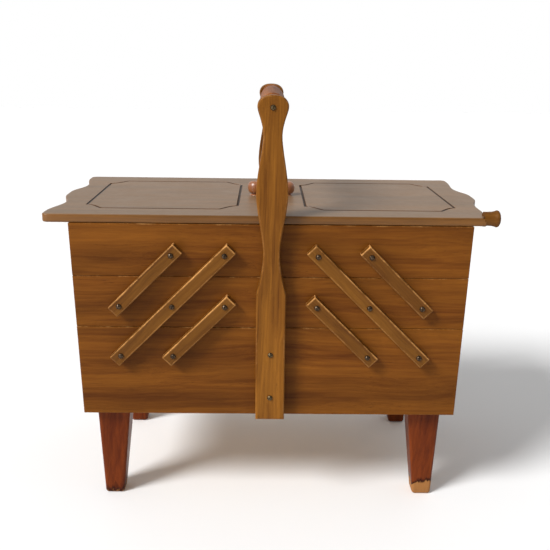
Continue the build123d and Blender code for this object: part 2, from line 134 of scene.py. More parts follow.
class LidSizes(bpy.types.PropertyGroup):
    """Sizes of the lids."""
    ear_corner: size("Ear corner", "Radius of an ear's corner", 6.5 * MM)
    ear_flat: size("Ear", "Distance from the middle of the depth to an ear's inner end", 109 * MM)
    ear_x: size("Ear reach", "How far a front ear reaches from the middle of the box", 240 * MM)
    left_back_ear_x: size("Left back ear", "How far the left back ear reaches", 238.5 * MM)
    right_back_ear_x: size("Right back ear", "How far the right back ear reaches", 234.5 * MM)
    scallop_x: size("Scallop", "How far the scallop's hollow is from the middle of the box", 230.5 * MM)
    scallop_y: size("Scallop place", "Distance from the middle of the depth to the hollow", 56 * MM)
    bulge_x: size("Bulge reach", "How far the bulge reaches from the middle of the box", 240.5 * MM)
    bulge_flat: size("Bulge", "Half length of the bulge's straight part", 9 * MM)
    round_over: size("Round-over", "Radius of the lid's edges", 1.4 * MM)
    groove_outer: size("Groove outer end",
                       "Distance of the groove's outer side from the middle of the box", 205 * MM)
    groove_inner: size("Groove inner end",
                       "Distance of the groove's inner side from the middle of the box", 36 * MM)
    groove_side: size("Groove side",
                      "Distance of the groove's long sides from the middle of the depth", 91 * MM)
    groove_clip: size("Groove corner", "Length taken off each corner of the groove", 20 * MM)
    groove_width: size("Groove width", "Width of the V groove", 3.0 * MM)
    groove_depth: size("Groove depth", "Depth of the V groove", 1.5 * MM)
    groove_slant: size("Groove slant",
                       "How much nearer the middle the right groove's outer side ends at the back", 3.6 * MM)
    into_knob: size("Ear in knob", "How far the right lid's ear runs into its turned knob", 1.6 * MM)


class TurnedSizes(bpy.types.PropertyGroup):
    """Sizes of the handle and the knobs."""
    swell: size("Handle swell", "Radius of the handle in the middle", 14 * MM)
    shaft: size("Handle shaft", "Radius of the handle beside its beads", 11.6 * MM)
    bead: size("Handle bead", "Radius of a bead", 12.6 * MM)
    groove: size("Handle groove", "Radius of the handle in its grooves", 10.4 * MM)
    end: size("Handle end", "Radius of the handle where it meets the uprights", 11.4 * MM)
    knob_neck: size("Knob neck", "Radius of a ball knob's neck", 6.0 * MM)
    steps: IntProperty(name="Steps", description="Faces round a turned part", default=64, min=12)


class ScrewSizes(bpy.types.PropertyGroup):
    """Sizes of the round-headed screws."""
    radius: size("Head radius", "Radius of a screw's head", 2.9 * MM)
    height: size("Head height", "Height of a screw's head", 2.2 * MM)
    slot_width: size("Slot width", "Width of the slot", 0.9 * MM)
    slot_depth: size("Slot depth", "Depth of the slot", 0.9 * MM)
    seed: IntProperty(name="Seed", description="Seed for the way each slot points", default=4)


class LegSizes(bpy.types.PropertyGroup):
    """Sizes of the legs."""
    foot: size("Foot", "Side of the square foot", 21.5 * MM)
    foot_shift: size("Foot shift", "How far the foot stands outwards of the leg's top", 4.85 * MM)
    corner: size("Corner", "Radius of a leg's corners", 3 * MM)
    toe: size("Toe", "Radius of the edge round the foot", 2.6 * MM)
    scuff: size("Scuff", "Height to which the front right foot is worn bare", 14 * MM)


# Dark and light streaks of each wood: what it is, then two linear colours.
TONES = {
    "veneer": ("body veneer", (0.078, 0.0205, 0.0026), (0.208, 0.070, 0.0075)),
    "trim": ("uprights", (0.105, 0.033, 0.0038), (0.255, 0.096, 0.0110)),
    "arm": ("arms", (0.092, 0.030, 0.0035), (0.175, 0.068, 0.0085)),
    "lid": ("lids", (0.110, 0.043, 0.0070), (0.200, 0.078, 0.0110)),
    "leg": ("stained legs", (0.078, 0.012, 0.0020), (0.185, 0.036, 0.0050)),
    "turned": ("handle", (0.150, 0.040, 0.0060), (0.300, 0.095, 0.0150)),
    "knob": ("ball knobs", (0.260, 0.075, 0.0150), (0.440, 0.150, 0.0350)),
    "inner": ("plain inner boards", (0.300, 0.160, 0.065), (0.480, 0.300, 0.140)),
    "ply": ("plywood", (0.360, 0.210, 0.095), (0.560, 0.370, 0.190)),
}


class WoodColours(bpy.types.PropertyGroup):
    """Dark and light tones of each wood."""
    worn: colour("Bare wood", "Wood laid bare by wear", (0.420, 0.205, 0.065))


for wood, (text, *pair) in TONES.items():
    for tone, default in zip(("dark", "light"), pair):
        made = colour(f"{text.capitalize()}, {tone}", f"{tone.capitalize()} streaks of the {text}", default)
        WoodColours.__annotations__[f"{wood}_{tone}"] = made


class StageSettings(bpy.types.PropertyGroup):
    """Light, floor and camera."""
    key: FloatProperty(name="Key", default=3.4, min=0,
                       description="Strength of the soft key light from the left")
    fill: FloatProperty(name="Fill", default=3.0, unit="POWER",
                        description="Power of the fill light near the left front")
    sky: FloatProperty(name="Sky", default=0.55, min=0,
                       description="Strength of the surroundings above and behind")
    room: FloatProperty(name="Room", description="Strength of the surroundings in front", default=0.16, min=0)
    lens: FloatProperty(name="Lens", default=51.15, min=1, unit="CAMERA",
                        description="Focal length of the camera")
    floor: size("Floor", "Half side of the floor", 6.0)


# Node trees.

class Graph:
    """Adds nodes to a tree and links them, so that a tree reads as a list of steps."""

    def __init__(self, tree):
        self.tree = tree
        self.count = 0

    def add(self, kind, values=None, **settings):
        """A node of that kind, its settings made first, then its inputs linked or filled in."""
        node = self.tree.nodes.new(kind)
        node.location = (self.count % 8 * 190, -(self.count // 8) * 260)
        self.count += 1
        for name, value in settings.items():
            setattr(node, name, value)
        for key, value in (values or {}).items():
            self.feed(node.inputs[key], value)
        return node

    def feed(self, socket, value):
        """Links a socket to an output, or sets its value."""
        if isinstance(value, bpy.types.NodeSocket):
            self.tree.links.new(value, socket)
        else:
            socket.default_value = value


def new_group(name, inputs, outputs, kind="ShaderNodeTree"):
    """An empty node group with these sockets, and its input and output nodes."""
    tree = bpy.data.node_groups.new(name, kind)
    for label, socket, default in inputs:
        made = tree.interface.new_socket(name=label, in_out="INPUT", socket_type=socket)
        if default is not None:
            made.default_value = default
    for label, socket in outputs:
        tree.interface.new_socket(name=label, in_out="OUTPUT", socket_type=socket)
    graph = Graph(tree)
    return graph, graph.add("NodeGroupInput").outputs, graph.add("NodeGroupOutput").inputs


def maths(graph, operation, first, second=0.0, clamp=False):
    """One step of arithmetic."""
    node = graph.add("ShaderNodeMath", {0: first, 1: second}, operation=operation, use_clamp=clamp)
    return node.outputs[0]


def times(graph, first, second):
    """The product of two values."""
    return maths(graph, "MULTIPLY", first, second)


def plus(graph, first, second, clamp=False):
    """The sum of two values."""
    return maths(graph, "ADD", first, second, clamp)


def minus(graph, first, second):
    """The first value less the second."""
    return maths(graph, "SUBTRACT", first, second)


def spread(graph, value, low, high, to_low=0.0, to_high=1.0):
    """The value stretched from one range to another, and held inside it."""
    values = {"Value": value, "From Min": low, "From Max": high, "To Min": to_low, "To Max": to_high}
    return graph.add("ShaderNodeMapRange", values, clamp=True).outputs[0]


def stretched(graph, vector, scale):
    """The vector with each axis scaled by its own number."""
    return graph.add("ShaderNodeVectorMath", {0: vector, 1: scale}, operation="MULTIPLY").outputs[0]


def noise(graph, vector, scale, detail=3.0, rough=0.55, warp=0.0):
    """A noise value."""
    values = {"Vector": vector, "Scale": scale, "Detail": detail, "Roughness": rough, "Distortion": warp}
    return graph.add("ShaderNodeTexNoise", values).outputs[0]


def streaks(graph, vector, scale, detail, rough=0.55):
    """Noise with its own scale along each axis."""
    return noise(graph, stretched(graph, vector, scale), 1.0, detail, rough)


def combined(graph, x=0.0, y=0.0, z=0.0):
    """A vector from its three parts."""
    return graph.add("ShaderNodeCombineXYZ", {0: x, 1: y, 2: z}).outputs[0]


def blend_colour(graph, factor, first, second):
    """Two colours mixed."""
    values = {0: factor, 6: first, 7: second}
    return graph.add("ShaderNodeMix", values, data_type="RGBA", blend_type="MIX").outputs[2]


def scaled(graph, vector, factor):
    """A vector or colour times one number."""
    return graph.add("ShaderNodeVectorMath", {0: vector, 3: factor}, operation="SCALE").outputs[0]


def wood_group():
    """Grain in metres along X of its vector: broad figure, fine fibre and short dark pores."""
    inputs = [("Vector", "NodeSocketVector", None), ("Figure Size", "NodeSocketFloat", 1.0)]
    inputs += [("Figure Low", "NodeSocketFloat", 0.36), ("Figure High", "NodeSocketFloat", 0.64)]
    outputs = [("Figure", "NodeSocketFloat"), ("Fibre", "NodeSocketFloat"), ("Pore", "NodeSocketFloat")]
    graph, given, out = new_group("Wood grain", inputs, outputs)
    sized = scaled(graph, given["Vector"], given["Figure Size"])
    drift = streaks(graph, sized, (5.0, 11.0, 11.0), 2.0)
    push = times(graph, minus(graph, drift, 0.5), 0.024)
    shift = combined(graph, y=push, z=push)
    warped = graph.add("ShaderNodeVectorMath", {0: sized, 1: shift}, operation="ADD").outputs[0]
    broad = streaks(graph, warped, (3.2, 62.0, 62.0), 3.0, 0.5)
    streak = streaks(graph, warped, (7.0, 260.0, 260.0), 4.0, 0.6)
    mixed = plus(graph, times(graph, broad, 0.52), times(graph, streak, 0.48))
    figure = spread(graph, mixed, given["Figure Low"], given["Figure High"])
    fibre = streaks(graph, warped, (40.0, 1500.0, 1500.0), 3.0, 0.6)
    dash = streaks(graph, warped, (95.0, 2300.0, 2300.0), 1.0, 0.5)
    place = streaks(graph, warped, (9.0, 110.0, 110.0), 2.0, 0.5)
    pore = times(graph, spread(graph, dash, 0.60, 0.70), spread(graph, place, 0.42, 0.62))
    graph.feed(out["Figure"], figure)
    graph.feed(out["Fibre"], fibre)
    graph.feed(out["Pore"], pore)
    return graph.tree


def upwards(graph):
    """How far the surface faces up on the shut box. It turns with the piece, as the dust film with its
    painted sheen and the edge wear with its painted highlight do.
    """
    facing = graph.add("ShaderNodeTexCoord").outputs["Normal"]
    return graph.add("ShaderNodeSeparateXYZ", {0: facing}).outputs[2]


def wear_and_highlight_group():
    """Where an edge has worn through its finish, from the piece's edge attribute and noise. The mask is
    stronger on edges that face up, which paints a highlight along them where the light falls from above.
    """
    inputs = [("Edge", "NodeSocketFloat", 0.0), ("Vector", "NodeSocketVector", None)]
    inputs += [("Amount", "NodeSocketFloat", 0.5), ("Softness", "NodeSocketFloat", 0.25)]
    graph, given, out = new_group("Edge wear", inputs, [("Mask", "NodeSocketFloat")])
    patches = noise(graph, given["Vector"], 55.0, 4.0, 0.6)
    nicks = noise(graph, given["Vector"], 420.0, 2.0, 0.6)
    chance = plus(graph, times(graph, patches, 0.65), times(graph, nicks, 0.35))
    level = minus(graph, plus(graph, chance, times(graph, given["Edge"], 0.42)), 0.42)
    start = minus(graph, 0.78, times(graph, given["Amount"], 0.5))
    end = plus(graph, start, given["Softness"])
    # Edges that face up get more of the mask: partly rubbing, partly a painted highlight from the light
    # above.
    wear_and_highlight = times(graph, spread(graph, upwards(graph), -0.2, 0.5, 0.12, 1.0), given["Edge"])
    graph.feed(out["Mask"], times(graph, spread(graph, level, start, end), wear_and_highlight))
    return graph.tree


def handling_and_sheen_group():
    """Smudges and faint scratches, for gloss that isn't even, and a film on faces that point up: partly
    settled dust, partly a painted sheen that lightens the tops.
    """
    inputs = [("Vector", "NodeSocketVector", None)]
    outputs = [("Smudge", "NodeSocketFloat"), ("Scratch", "NodeSocketFloat"), ("Dust", "NodeSocketFloat")]
    graph, given, out = new_group("Handling", inputs, outputs)
    smudge = noise(graph, given["Vector"], 26.0, 4.0, 0.6, 0.6)
    lines = noise(graph, stretched(graph, given["Vector"], (70.0, 900.0, 640.0)), 1.0, 2.0, 0.4, 0.4)
    where = noise(graph, given["Vector"], 19.0, 1.0)
    scratch = times(graph, spread(graph, lines, 0.70, 0.74), spread(graph, where, 0.50, 0.60))
    # A film on upward faces, in patches: partly settled dust, partly a painted sheen that stands for the
    # reflection of bright surroundings.
    dust_and_sheen_patches = noise(graph, given["Vector"], 160.0, 5.0, 0.65)
    flat = spread(graph, upwards(graph), 0.55, 1.0)
    dust_and_sheen = times(graph, flat, spread(graph, dust_and_sheen_patches, 0.25, 0.75, 0.6, 1.0))
    graph.feed(out["Smudge"], smudge)
    graph.feed(out["Scratch"], scratch)
    graph.feed(out["Dust"], dust_and_sheen)
    return graph.tree


GROUPS = {}


def group_node(graph, make, values):
    """A shared node group, built once, placed with this material's own values."""
    if make not in GROUPS:
        GROUPS[make] = make()
    node = graph.add("ShaderNodeGroup", node_tree=GROUPS[make])
    for key, value in values.items():
        graph.feed(node.inputs[key], value)
    return node.outputs


def rgba(value):
    """A colour with full alpha."""
    return (value[0], value[1], value[2], 1.0)


def deepened(tone, share):
    """A colour with each part reduced to that share."""
    return rgba([share * part for part in tone])


def attribute(graph, name):
    """One of the piece's own attributes."""
    return graph.add("ShaderNodeAttribute", attribute_name=name)


def new_material(name):
    """An empty material, its graph and its Principled shader."""
    material = bpy.data.materials.new(name)
    material.use_nodes = True
    material.node_tree.nodes.clear()
    graph = Graph(material.node_tree)
    shader = graph.add("ShaderNodeBsdfPrincipled")
    graph.add("ShaderNodeOutputMaterial", {"Surface": shader.outputs[0]})
    return material, graph, shader


def wood_material(name, dark, light, worn, gloss=0.42, coat=0.0, shine=0.2, figure=1.0,
                  window=(0.36, 0.64), wear=0.5, pores=0.35, dust_and_sheen_share=0.0, patchy=0.10, wear_and_highlight=1.0):
    """A finished wood: grain colour, worn edges and feet, uneven gloss and open pores. It also paints a
    highlight on worn edges that face up, a sheen on upward faces and shade in grooves.
    """
    material, graph, shader = new_material(name)
    place = graph.add("ShaderNodeTexCoord").outputs["Object"]
    along = attribute(graph, GRAIN).outputs["Vector"]
    figures = {"Vector": along, "Figure Size": figure, "Figure Low": window[0], "Figure High": window[1]}
    grain = group_node(graph, wood_group, figures)
    edge = attribute(graph, RIM).outputs["Fac"]
    # Worn edges, more where they face up: partly real wear, partly a painted highlight.
    bare = group_node(graph, wear_and_highlight_group, {"Edge": edge, "Vector": place, "Amount": wear})["Mask"]
    handled = group_node(graph, handling_and_sheen_group, {"Vector": place})
    tone = blend_colour(graph, grain["Figure"], rgba(dark), rgba(light))
    thread = spread(graph, grain["Fibre"], 0.3, 0.7, 0.90, 1.10)
    cloudy = streaks(graph, along, (6.0, 22.0, 22.0), 2.0)
    cloud = spread(graph, cloudy, 0.32, 0.68, 1.0 - patchy, 1.0 + patchy)
    tone = scaled(graph, tone, times(graph, thread, cloud))
    tone = blend_colour(graph, times(graph, grain["Pore"], pores), tone, deepened(dark, 0.35))
    ragged = times(graph, streaks(graph, place, (150.0, 150.0, 45.0), 4.0, 0.6), 0.8)
    scuff = plus(graph, attribute(graph, SCUFF).outputs["Fac"], ragged)
    tone = blend_colour(graph, spread(graph, scuff, 0.62, 0.76), tone, deepened(dark, 0.45))
    stained = blend_colour(graph, spread(graph, scuff, 0.76, 0.80, 0.0, 0.35), rgba(worn), rgba(light))
    bare = maths(graph, "MAXIMUM", bare, spread(graph, scuff, 0.79, 0.85))
    # Worn edges take the bare wood colour, scaled by a factor that the arms raise: partly bare wood, partly a
    # painted highlight.
    tone = blend_colour(graph, bare, tone, scaled(graph, stained, times(graph, thread, wear_and_highlight)))
    # A greyish film on upward faces: partly dust, partly a painted sheen.
    tone = blend_colour(graph, times(graph, handled["Dust"], dust_and_sheen_share), tone, DUST_AND_SHEEN)
    # Painted shade: the colour darkens towards the bottom of the lid grooves.
    groove_shade = spread(graph, attribute(graph, CUT).outputs["Fac"], 0.0, 0.5)
    tone = blend_colour(graph, groove_shade, tone, deepened(dark, 0.22))
    graph.feed(shader.inputs["Base Color"], tone)
    rough = plus(graph, times(graph, handled["Smudge"], 0.16), gloss - 0.08)
    rough = plus(graph, rough, times(graph, handled["Scratch"], 0.12))
    rough = plus(graph, rough, times(graph, bare, 0.25), True)
    graph.feed(shader.inputs["Roughness"], rough)
    relief = minus(graph, times(graph, grain["Fibre"], 0.35), grain["Pore"])
    relief = minus(graph, relief, times(graph, handled["Scratch"], 0.4))
    bump = graph.add("ShaderNodeBump", {"Strength": 0.22, "Distance": 0.12 * MM, "Height": relief})
    graph.feed(shader.inputs["Normal"], bump.outputs[0])
    shader.inputs["Specular IOR Level"].default_value = shine
    shader.inputs["Coat Weight"].default_value = coat
    shader.inputs["Coat Roughness"].default_value = 0.32
    return material


def metal_material(name, bright, dull, tarnish, gloss):
    """A dulled metal: tarnish in patches, fine turning marks and uneven gloss."""
    material, graph, shader = new_material(name)
    place = graph.add("ShaderNodeTexCoord").outputs["Object"]
    patches = noise(graph, place, 900.0, 4.0, 0.65)
    mask = spread(graph, patches, 0.35, 0.65, 0.0, tarnish * 2)
    graph.feed(shader.inputs["Base Color"], blend_colour(graph, mask, rgba(bright), rgba(dull)))
    graph.feed(shader.inputs["Roughness"], spread(graph, patches, 0.2, 0.8, gloss - 0.1, gloss + 0.25))
    marks = noise(graph, place, 2600.0, 2.0, 0.5)
    bump = graph.add("ShaderNodeBump", {"Strength": 0.25, "Distance": 0.05 * MM, "Height": marks})
    graph.feed(shader.inputs["Normal"], bump.outputs[0])
    shader.inputs["Metallic"].default_value = 1.0
    return material


# Colour of the film on upward faces: partly dust, partly a painted sheen.
DUST_AND_SHEEN = (0.36, 0.30, 0.22, 1.0)
MATERIALS = {}
WOODS = {
    "body veneer": ("veneer", {"wear": 0.62, "window": (0.30, 0.68), "shine": 0.08, "patchy": 0.16}),
    # The lids' tops get the film of dust and painted sheen.
    "lid veneer": ("lid", {"gloss": 0.36, "shine": 0.36, "wear": 0.35, "dust_and_sheen_share": 0.36, "patchy": 0.06}),
    "trim": ("trim", {"figure": 1.4, "wear": 0.62, "gloss": 0.40, "shine": 0.10}),
    # The arms' strong wear and brightened bare wood paint a highlight along their upper edges, on top of real
    # wear.
    "arm": ("arm", {"figure": 1.4, "wear": 0.85, "wear_and_highlight": 1.5, "gloss": 0.42, "shine": 0.12}),
    "leg": ("leg", {"gloss": 0.34, "shine": 0.10, "wear": 0.30, "pores": 0.15}),
    "handle": ("turned", {"gloss": 0.42, "shine": 0.12, "wear": 0.2, "pores": 0.25}),
    "knob": ("knob", {"gloss": 0.38, "coat": 0.7, "shine": 0.8, "wear": 0.1, "pores": 0.1}),
    "inside": ("inner", {"gloss": 0.55, "wear": 0.2}),
    "plywood": ("ply", {"gloss": 0.62, "wear": 0.1}),
}
METALS = {
    "aged brass": ((0.20, 0.145, 0.075), (0.045, 0.028, 0.016), 0.6, 0.30),
    "dull steel": ((0.15, 0.105, 0.070), (0.030, 0.018, 0.011), 0.6, 0.30),
    "hinge brass": ((0.66, 0.50, 0.24), (0.25, 0.17, 0.07), 0.35, 0.34),
}


def finish(name):
    """A named finish, made the first time it is asked for."""
    if name not in MATERIALS:
        if name in METALS:
            MATERIALS[name] = metal_material(name, *METALS[name])
        else:
            tones = bpy.context.scene.sewing_box_woods
            wood, settings = WOODS[name]
            dark, light = getattr(tones, wood + "_dark"), getattr(tones, wood + "_light")
            MATERIALS[name] = wood_material(name, dark, light, tones.worn, **settings)
    return MATERIALS[name]


# Outlines: lists of (u, v, corner), where corner is 1 on a rounded corner and 0 elsewhere.

def rounded(corners, radius, band, amount=0.0, steps=3):
    """A polygon moved inwards by amount, each corner rounded, with points where wear has faded out."""
    made = []
    radius = max(radius - amount, 0.03 * MM)
    for place, corner in enumerate(corners):
        here = Vector(corner)
        back = (Vector(corners[place - 1]) - here).normalized()
        ahead = (Vector(corners[(place + 1) % len(corners)]) - here).normalized()
        half = back.angle(ahead) / 2
        inwards = (back + ahead).normalized() / math.sin(half)
        here = here + inwards * amount
        centre = here + inwards * radius
        reach = radius / math.tan(half)
        start, end = here + back * reach, here + ahead * reach
        made.append((*(start + back * band), 0.0))
        for step in range(steps + 1):
            point = start.lerp(end, step / steps)
            made.append((*(centre + (point - centre).normalized() * radius), 1.0))
        made.append((*(end + ahead * band), 0.0))
    return made


def divided(outline, longest):
    """The outline with more points, so that no run is longer than longest."""
    made = []
    for place, point in enumerate(outline):
        after = outline[(place + 1) % len(outline)]
        run = (Vector(after[:2]) - Vector(point[:2])).length
        parts = max(1, math.ceil(run / longest))
        for part in range(parts):
            share = part / parts
            mixed = [point[axis] + (after[axis] - point[axis]) * share for axis in range(2)]
            made.append((*mixed, point[2] if part == 0 else 0.0))
    return made


def inset(outline, amount):
    """A smooth outline moved inwards, square to itself."""
    made = []
    total = len(outline)
    for place in range(total):
        here = Vector(outline[place][:2])
        first = (here - Vector(outline[place - 1][:2])).normalized()
        second = (Vector(outline[(place + 1) % total][:2]) - here).normalized()
        one, two = Vector((-first.y, first.x)), Vector((-second.y, second.x))
        mitre = (one + two) / max(0.3, 1 + one.dot(two))
        made.append((*(here + mitre * amount), outline[place][2]))
    return made


def hermite(start, end, start_slope, end_slope, steps):
    """Points of a smooth curve between two points, without the last one."""
    made = []
    for step in range(steps):
        t = step / steps
        a, b = 2 * t ** 3 - 3 * t ** 2 + 1, t ** 3 - 2 * t ** 2 + t
        c, d = 3 * t ** 2 - 2 * t ** 3, t ** 3 - t ** 2
        made.append(Vector(start) * a + Vector(start_slope) * b + Vector(end) * c + Vector(end_slope) * d)
    return made


# Meshes.

def new_piece(name, mesh_data, material, body, nodes):
    """A finished piece that rides on a body and stands for CAD nodes."""
    piece = bpy.data.objects.new(name, mesh_data)
    bpy.context.scene.collection.objects.link(piece)
    piece.data.materials.clear()
    piece.data.materials.append(finish(material))
    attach(piece, body)
    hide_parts(*nodes)


def to_mesh(name, work, smooth_angle=32.0):
    """The bmesh as a mesh with its normals outwards, smooth except at sharp edges."""
    bmesh.ops.remove_doubles(work, verts=work.verts, dist=0.004 * MM)
    bmesh.ops.recalc_face_normals(work, faces=work.faces)
    data = bpy.data.meshes.new(name)
    work.to_mesh(data)
    work.free()
    data.shade_smooth()
    data.set_sharp_from_angle(angle=math.radians(smooth_angle))
    return data


def layers_of(work):
    """A bmesh's layers for edges, cut lines, scuffs and grain. Edges and grain are returned."""
    for name in (RIM, CUT, SCUFF):
        work.verts.layers.float.new(name)
    work.verts.layers.float_vector.new(GRAIN)
    return work.verts.layers.float[RIM], work.verts.layers.float_vector[GRAIN]


def grain_frame(direction, seed):
    """Turns a point in the row frame into grain space: X along the fibres, at a place of its own."""
    along = Vector(direction).normalized()
    across = along.cross(Vector((0, 0, 1)) if abs(along.z) < 0.9 else Vector((0, 1, 0))).normalized()
    through = along.cross(across)
    start = random.Random(seed)
    shift = Vector([start.uniform(0, 9) for _ in range(3)])
    return lambda point: Vector((along.dot(point), across.dot(point), through.dot(point))) + shift


def plate(work, ring_at, thick, radius, band, place, grain):
    """A flat board with rounded edges.

    ring_at gives the board's outline moved inwards by a distance, and place turns (u, v, w) into the
    row frame, with w from 0 to thick.
    """
    rim, fibres = work.verts.layers.float[RIM], work.verts.layers.float_vector[GRAIN]
    arc = [math.radians(turn) for turn in (0, 30, 60, 90)]
    rings = [(radius + band, thick, 0.0), (radius + WEAR_ON_FACE, thick, 0.9)]
    rings += [(radius * (1 - math.sin(a)), thick - radius * (1 - math.cos(a)), 1.0) for a in arc]
    if thick > 2 * (radius + band):
        rings += [(0, thick - radius - band, 0.0), (0, radius + band, 0.0)]
    rings += [(radius * (1 - math.sin(a)), radius * (1 - math.cos(a)), 1.0) for a in reversed(arc)]
    rings += [(radius + WEAR_ON_FACE, 0.0, 0.9), (radius + band, 0.0, 0.0)]
    loops = []
    for amount, w, worn in rings:
        on_cap = amount > radius
        loop = []
        for u, v, corner in ring_at(amount):
            vert = work.verts.new(place(u, v, w))
            vert[rim] = worn if on_cap else max(worn, corner)
            vert[fibres] = grain(vert.co)
            loop.append(vert)
        loops.append(loop)
    skinned(work, loops, turned=True)
    return loops


def skinned(work, loops, turned=False):
    """Faces between neighbouring closed loops, wound the other way if turned."""
    for one, two in zip(loops, loops[1:]):
        for step in range(len(one)):
            after = (step + 1) % len(one)
            corners = [one[step], one[after], two[after], two[step]]
            if turned:
                corners[1:] = reversed(corners[1:])
            work.faces.new(corners)


def capped(work, *loops):
    """A flat face over each of these closed loops."""
    for loop in loops:
        work.faces.new(loop)


def closed_plate(name, ring_at, thick, radius, band, place, grain):
    """The mesh of one flat board."""
    work = bmesh.new()
    layers_of(work)
    loops = plate(work, ring_at, thick, radius, band, place, grain)
    capped(work, loops[0], loops[-1])
    return to_mesh(name, work)


def box_corners(low, high):
    """Corners of a rectangle, counter-clockwise."""
    return [(low[0], low[1]), (high[0], low[1]), (high[0], high[1]), (low[0], high[1])]


# Boards.

def board(context, node, label, body, material, corners, thick, place, grain):
    """A board from the corners of its broad face."""
    sizes = context.scene.sewing_box_boards
    ring_at = lambda amount: rounded(corners, sizes.arris, sizes.band, amount)
    mesh_data = closed_plate(label, ring_at, thick, sizes.arris, sizes.band, place, grain)
    new_piece(label, mesh_data, material, body, [node])


def long_board(context, node, label, body, seed, lean_left, lean_right):
    """A front or back board, with ends that lean with the body where asked."""
    low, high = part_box(node)
    run = (high.z - low.z) * context.scene.sewing_box_boards.lean
    foot = [(low.x + run * lean_left, low.z), (high.x - run * lean_right, low.z)]
    corners = foot + [(high.x, high.z), (low.x, high.z)]
    place = lambda u, v, w: Vector((u, high.y - w, v))
    grain = grain_frame((1, 0, 0), seed)
    board(context, node, label, body, "body veneer", corners, high.y - low.y, place, grain)


def cross_board(context, node, label, body, material, seed, lean=0):
    """An end board or divider. It leans to the left, to the right or not at all, as lean says."""
    low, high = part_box(node)
    slope = context.scene.sewing_box_boards.lean * lean
    run = abs(slope) * (high.z - low.z)
    start = low.x + (run if lean < 0 else 0)
    place = lambda u, v, w: Vector((start + slope * (v - low.z) + w, u, v))
    corners = box_corners((low.y, low.z), (high.y, high.z))
    grain = grain_frame((0, 1, 0), seed)
    board(context, node, label, body, material, corners, high.x - low.x - run, place, grain)


def flat_panel(context, node, label, body, seed):
    """A thin bottom panel."""
    low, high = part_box(node)
    place = lambda u, v, w: Vector((u, v, low.z + w))
    grain = grain_frame((1, 0, 0), seed)
    corners = box_corners(low, high)
    board(context, node, label, body, "plywood", corners, high.z - low.z, place, grain)


class SEWINGBOX_OT_base_box(bpy.types.Operator):
    """Boards of the fixed box"""
    bl_idname = "sewing_box.base_box"
    bl_label = "Base Box"

    def execute(self, context):
        for seed, face in enumerate(("front", "back")):
            long_board(context, f"base_{face}_board", f"base_{face}", "base", 11 + seed, 1, 1)
        for seed, (side, lean) in enumerate(LEANS.items()):
            node, label = f"base_{side}_end", f"base_end_{side}"
            cross_board(context, node, label, "base", "body veneer", 13 + seed, lean)
        flat_panel(context, "base_bottom_panel", "base_bottom", "base", 15)
        return {"FINISHED"}


class SEWINGBOX_OT_trays(bpy.types.Operator):
    """Boards of the four lifting trays"""
    bl_idname = "sewing_box.trays"
    bl_label = "Trays"

    def execute(self, context):
        seed = 20
        for side, lean in LEANS.items():
            ends = (1, 0) if side == "left" else (0, 1)
            for tray in TRAYS:
                start, body, label = f"{side}_{tray}_tray_", f"{side}_{tray}_tray", f"{side}_{tray}_"
                for face in ("front", "back"):
                    long_board(context, f"{start}{face}_board", label + face, body, seed, *ends)
                    seed += 1
                outer, inner = start + "outer_end", start + "inner_end"
                cross_board(context, outer, label + "outer", body, "body veneer", seed, lean)
                cross_board(context, inner, label + "inner", body, "inside", seed + 1)
                flat_panel(context, start + "bottom", label + "floor", body, seed + 2)
                seed += 3
            node, body = f"{side}_top_tray_divider", f"{side}_top_tray"
            cross_board(context, node, f"{side}_divider", body, "inside", seed)
            seed += 1
        return {"FINISHED"}


# Uprights and arms.

def upright_outline(sizes, low_z, top_z):
    """Front view of an upright, counter-clockwise from its foot."""
    stops = [((sizes.shoulder_half, sizes.shoulder_z), (-0.012, 0.044)),
             ((sizes.lower_neck, sizes.lower_neck_z), (0, 0.050)),
             ((sizes.belly, sizes.belly_z), (0, 0.056)),
             ((sizes.upper_neck, sizes.upper_neck_z), (0, 0.038)),
             ((sizes.head, sizes.head_z), (0, 0.018))]
    right = []
    for (start, slope), (end, end_slope) in zip(stops, stops[1:]):
        right += hermite(start, end, slope, end_slope, 22)
    crown = top_z - sizes.head_z
    for step in range(17):
        turn = step / 16 * math.pi / 2
        swell = math.cos(turn) ** 0.82
        right.append(Vector((sizes.head * swell, sizes.head_z + crown * math.sin(turn))))
    made = [(sizes.shoulder_half, low_z, 1.0), (sizes.shoulder_half, low_z + 3 * MM, 0.0)]
    made += [(point.x, point.y, 0.0) for point in right]
    left = [(-u, v, corner) for u, v, corner in reversed(made) if u > 0.01 * MM]
    return divided(made + left, 4 * MM)


class SEWINGBOX_OT_uprights(bpy.types.Operator):
    """The two shaped uprights"""
    bl_idname = "sewing_box.uprights"
    bl_label = "Uprights"

    def execute(self, context):
        sizes = context.scene.sewing_box_trim
        band = context.scene.sewing_box_boards.band
        for seed, face in enumerate(("front", "back")):
            low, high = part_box(f"{face}_upright")
            outline = upright_outline(sizes, low.z, high.z)
            label, thick = f"upright_{face}", high.y - low.y
            ring_at = lambda amount: inset(outline, amount)
            place = lambda u, v, w: Vector((u, high.y - w, v))
            grain = grain_frame((0.012, 0, 1), 61 + seed)
            mesh_data = closed_plate(label, ring_at, thick, sizes.round_over, band, place, grain)
            new_piece(label, mesh_data, "trim", "base", [f"{face}_upright"])
        return {"FINISHED"}


def joint_place(name):
    """A joint's pivot in the row frame."""
    return Vector(next(joint["pos_m"] for joint in frame["joints"] if joint["name"] == name))


def arm_spans(side):
    """Start and end pivot of the long, lower and upper arm."""
    start, middle = joint_place(side + "_open"), joint_place(side + "_middle_level")
    end = joint_place(side + "_top_level")
    lower, upper = joint_place(side + "_lower_arm"), joint_place(side + "_upper_arm")
    step = middle - start
    return {"long": (start, end), "lower": (lower, lower + step), "upper": (upper, upper + step)}


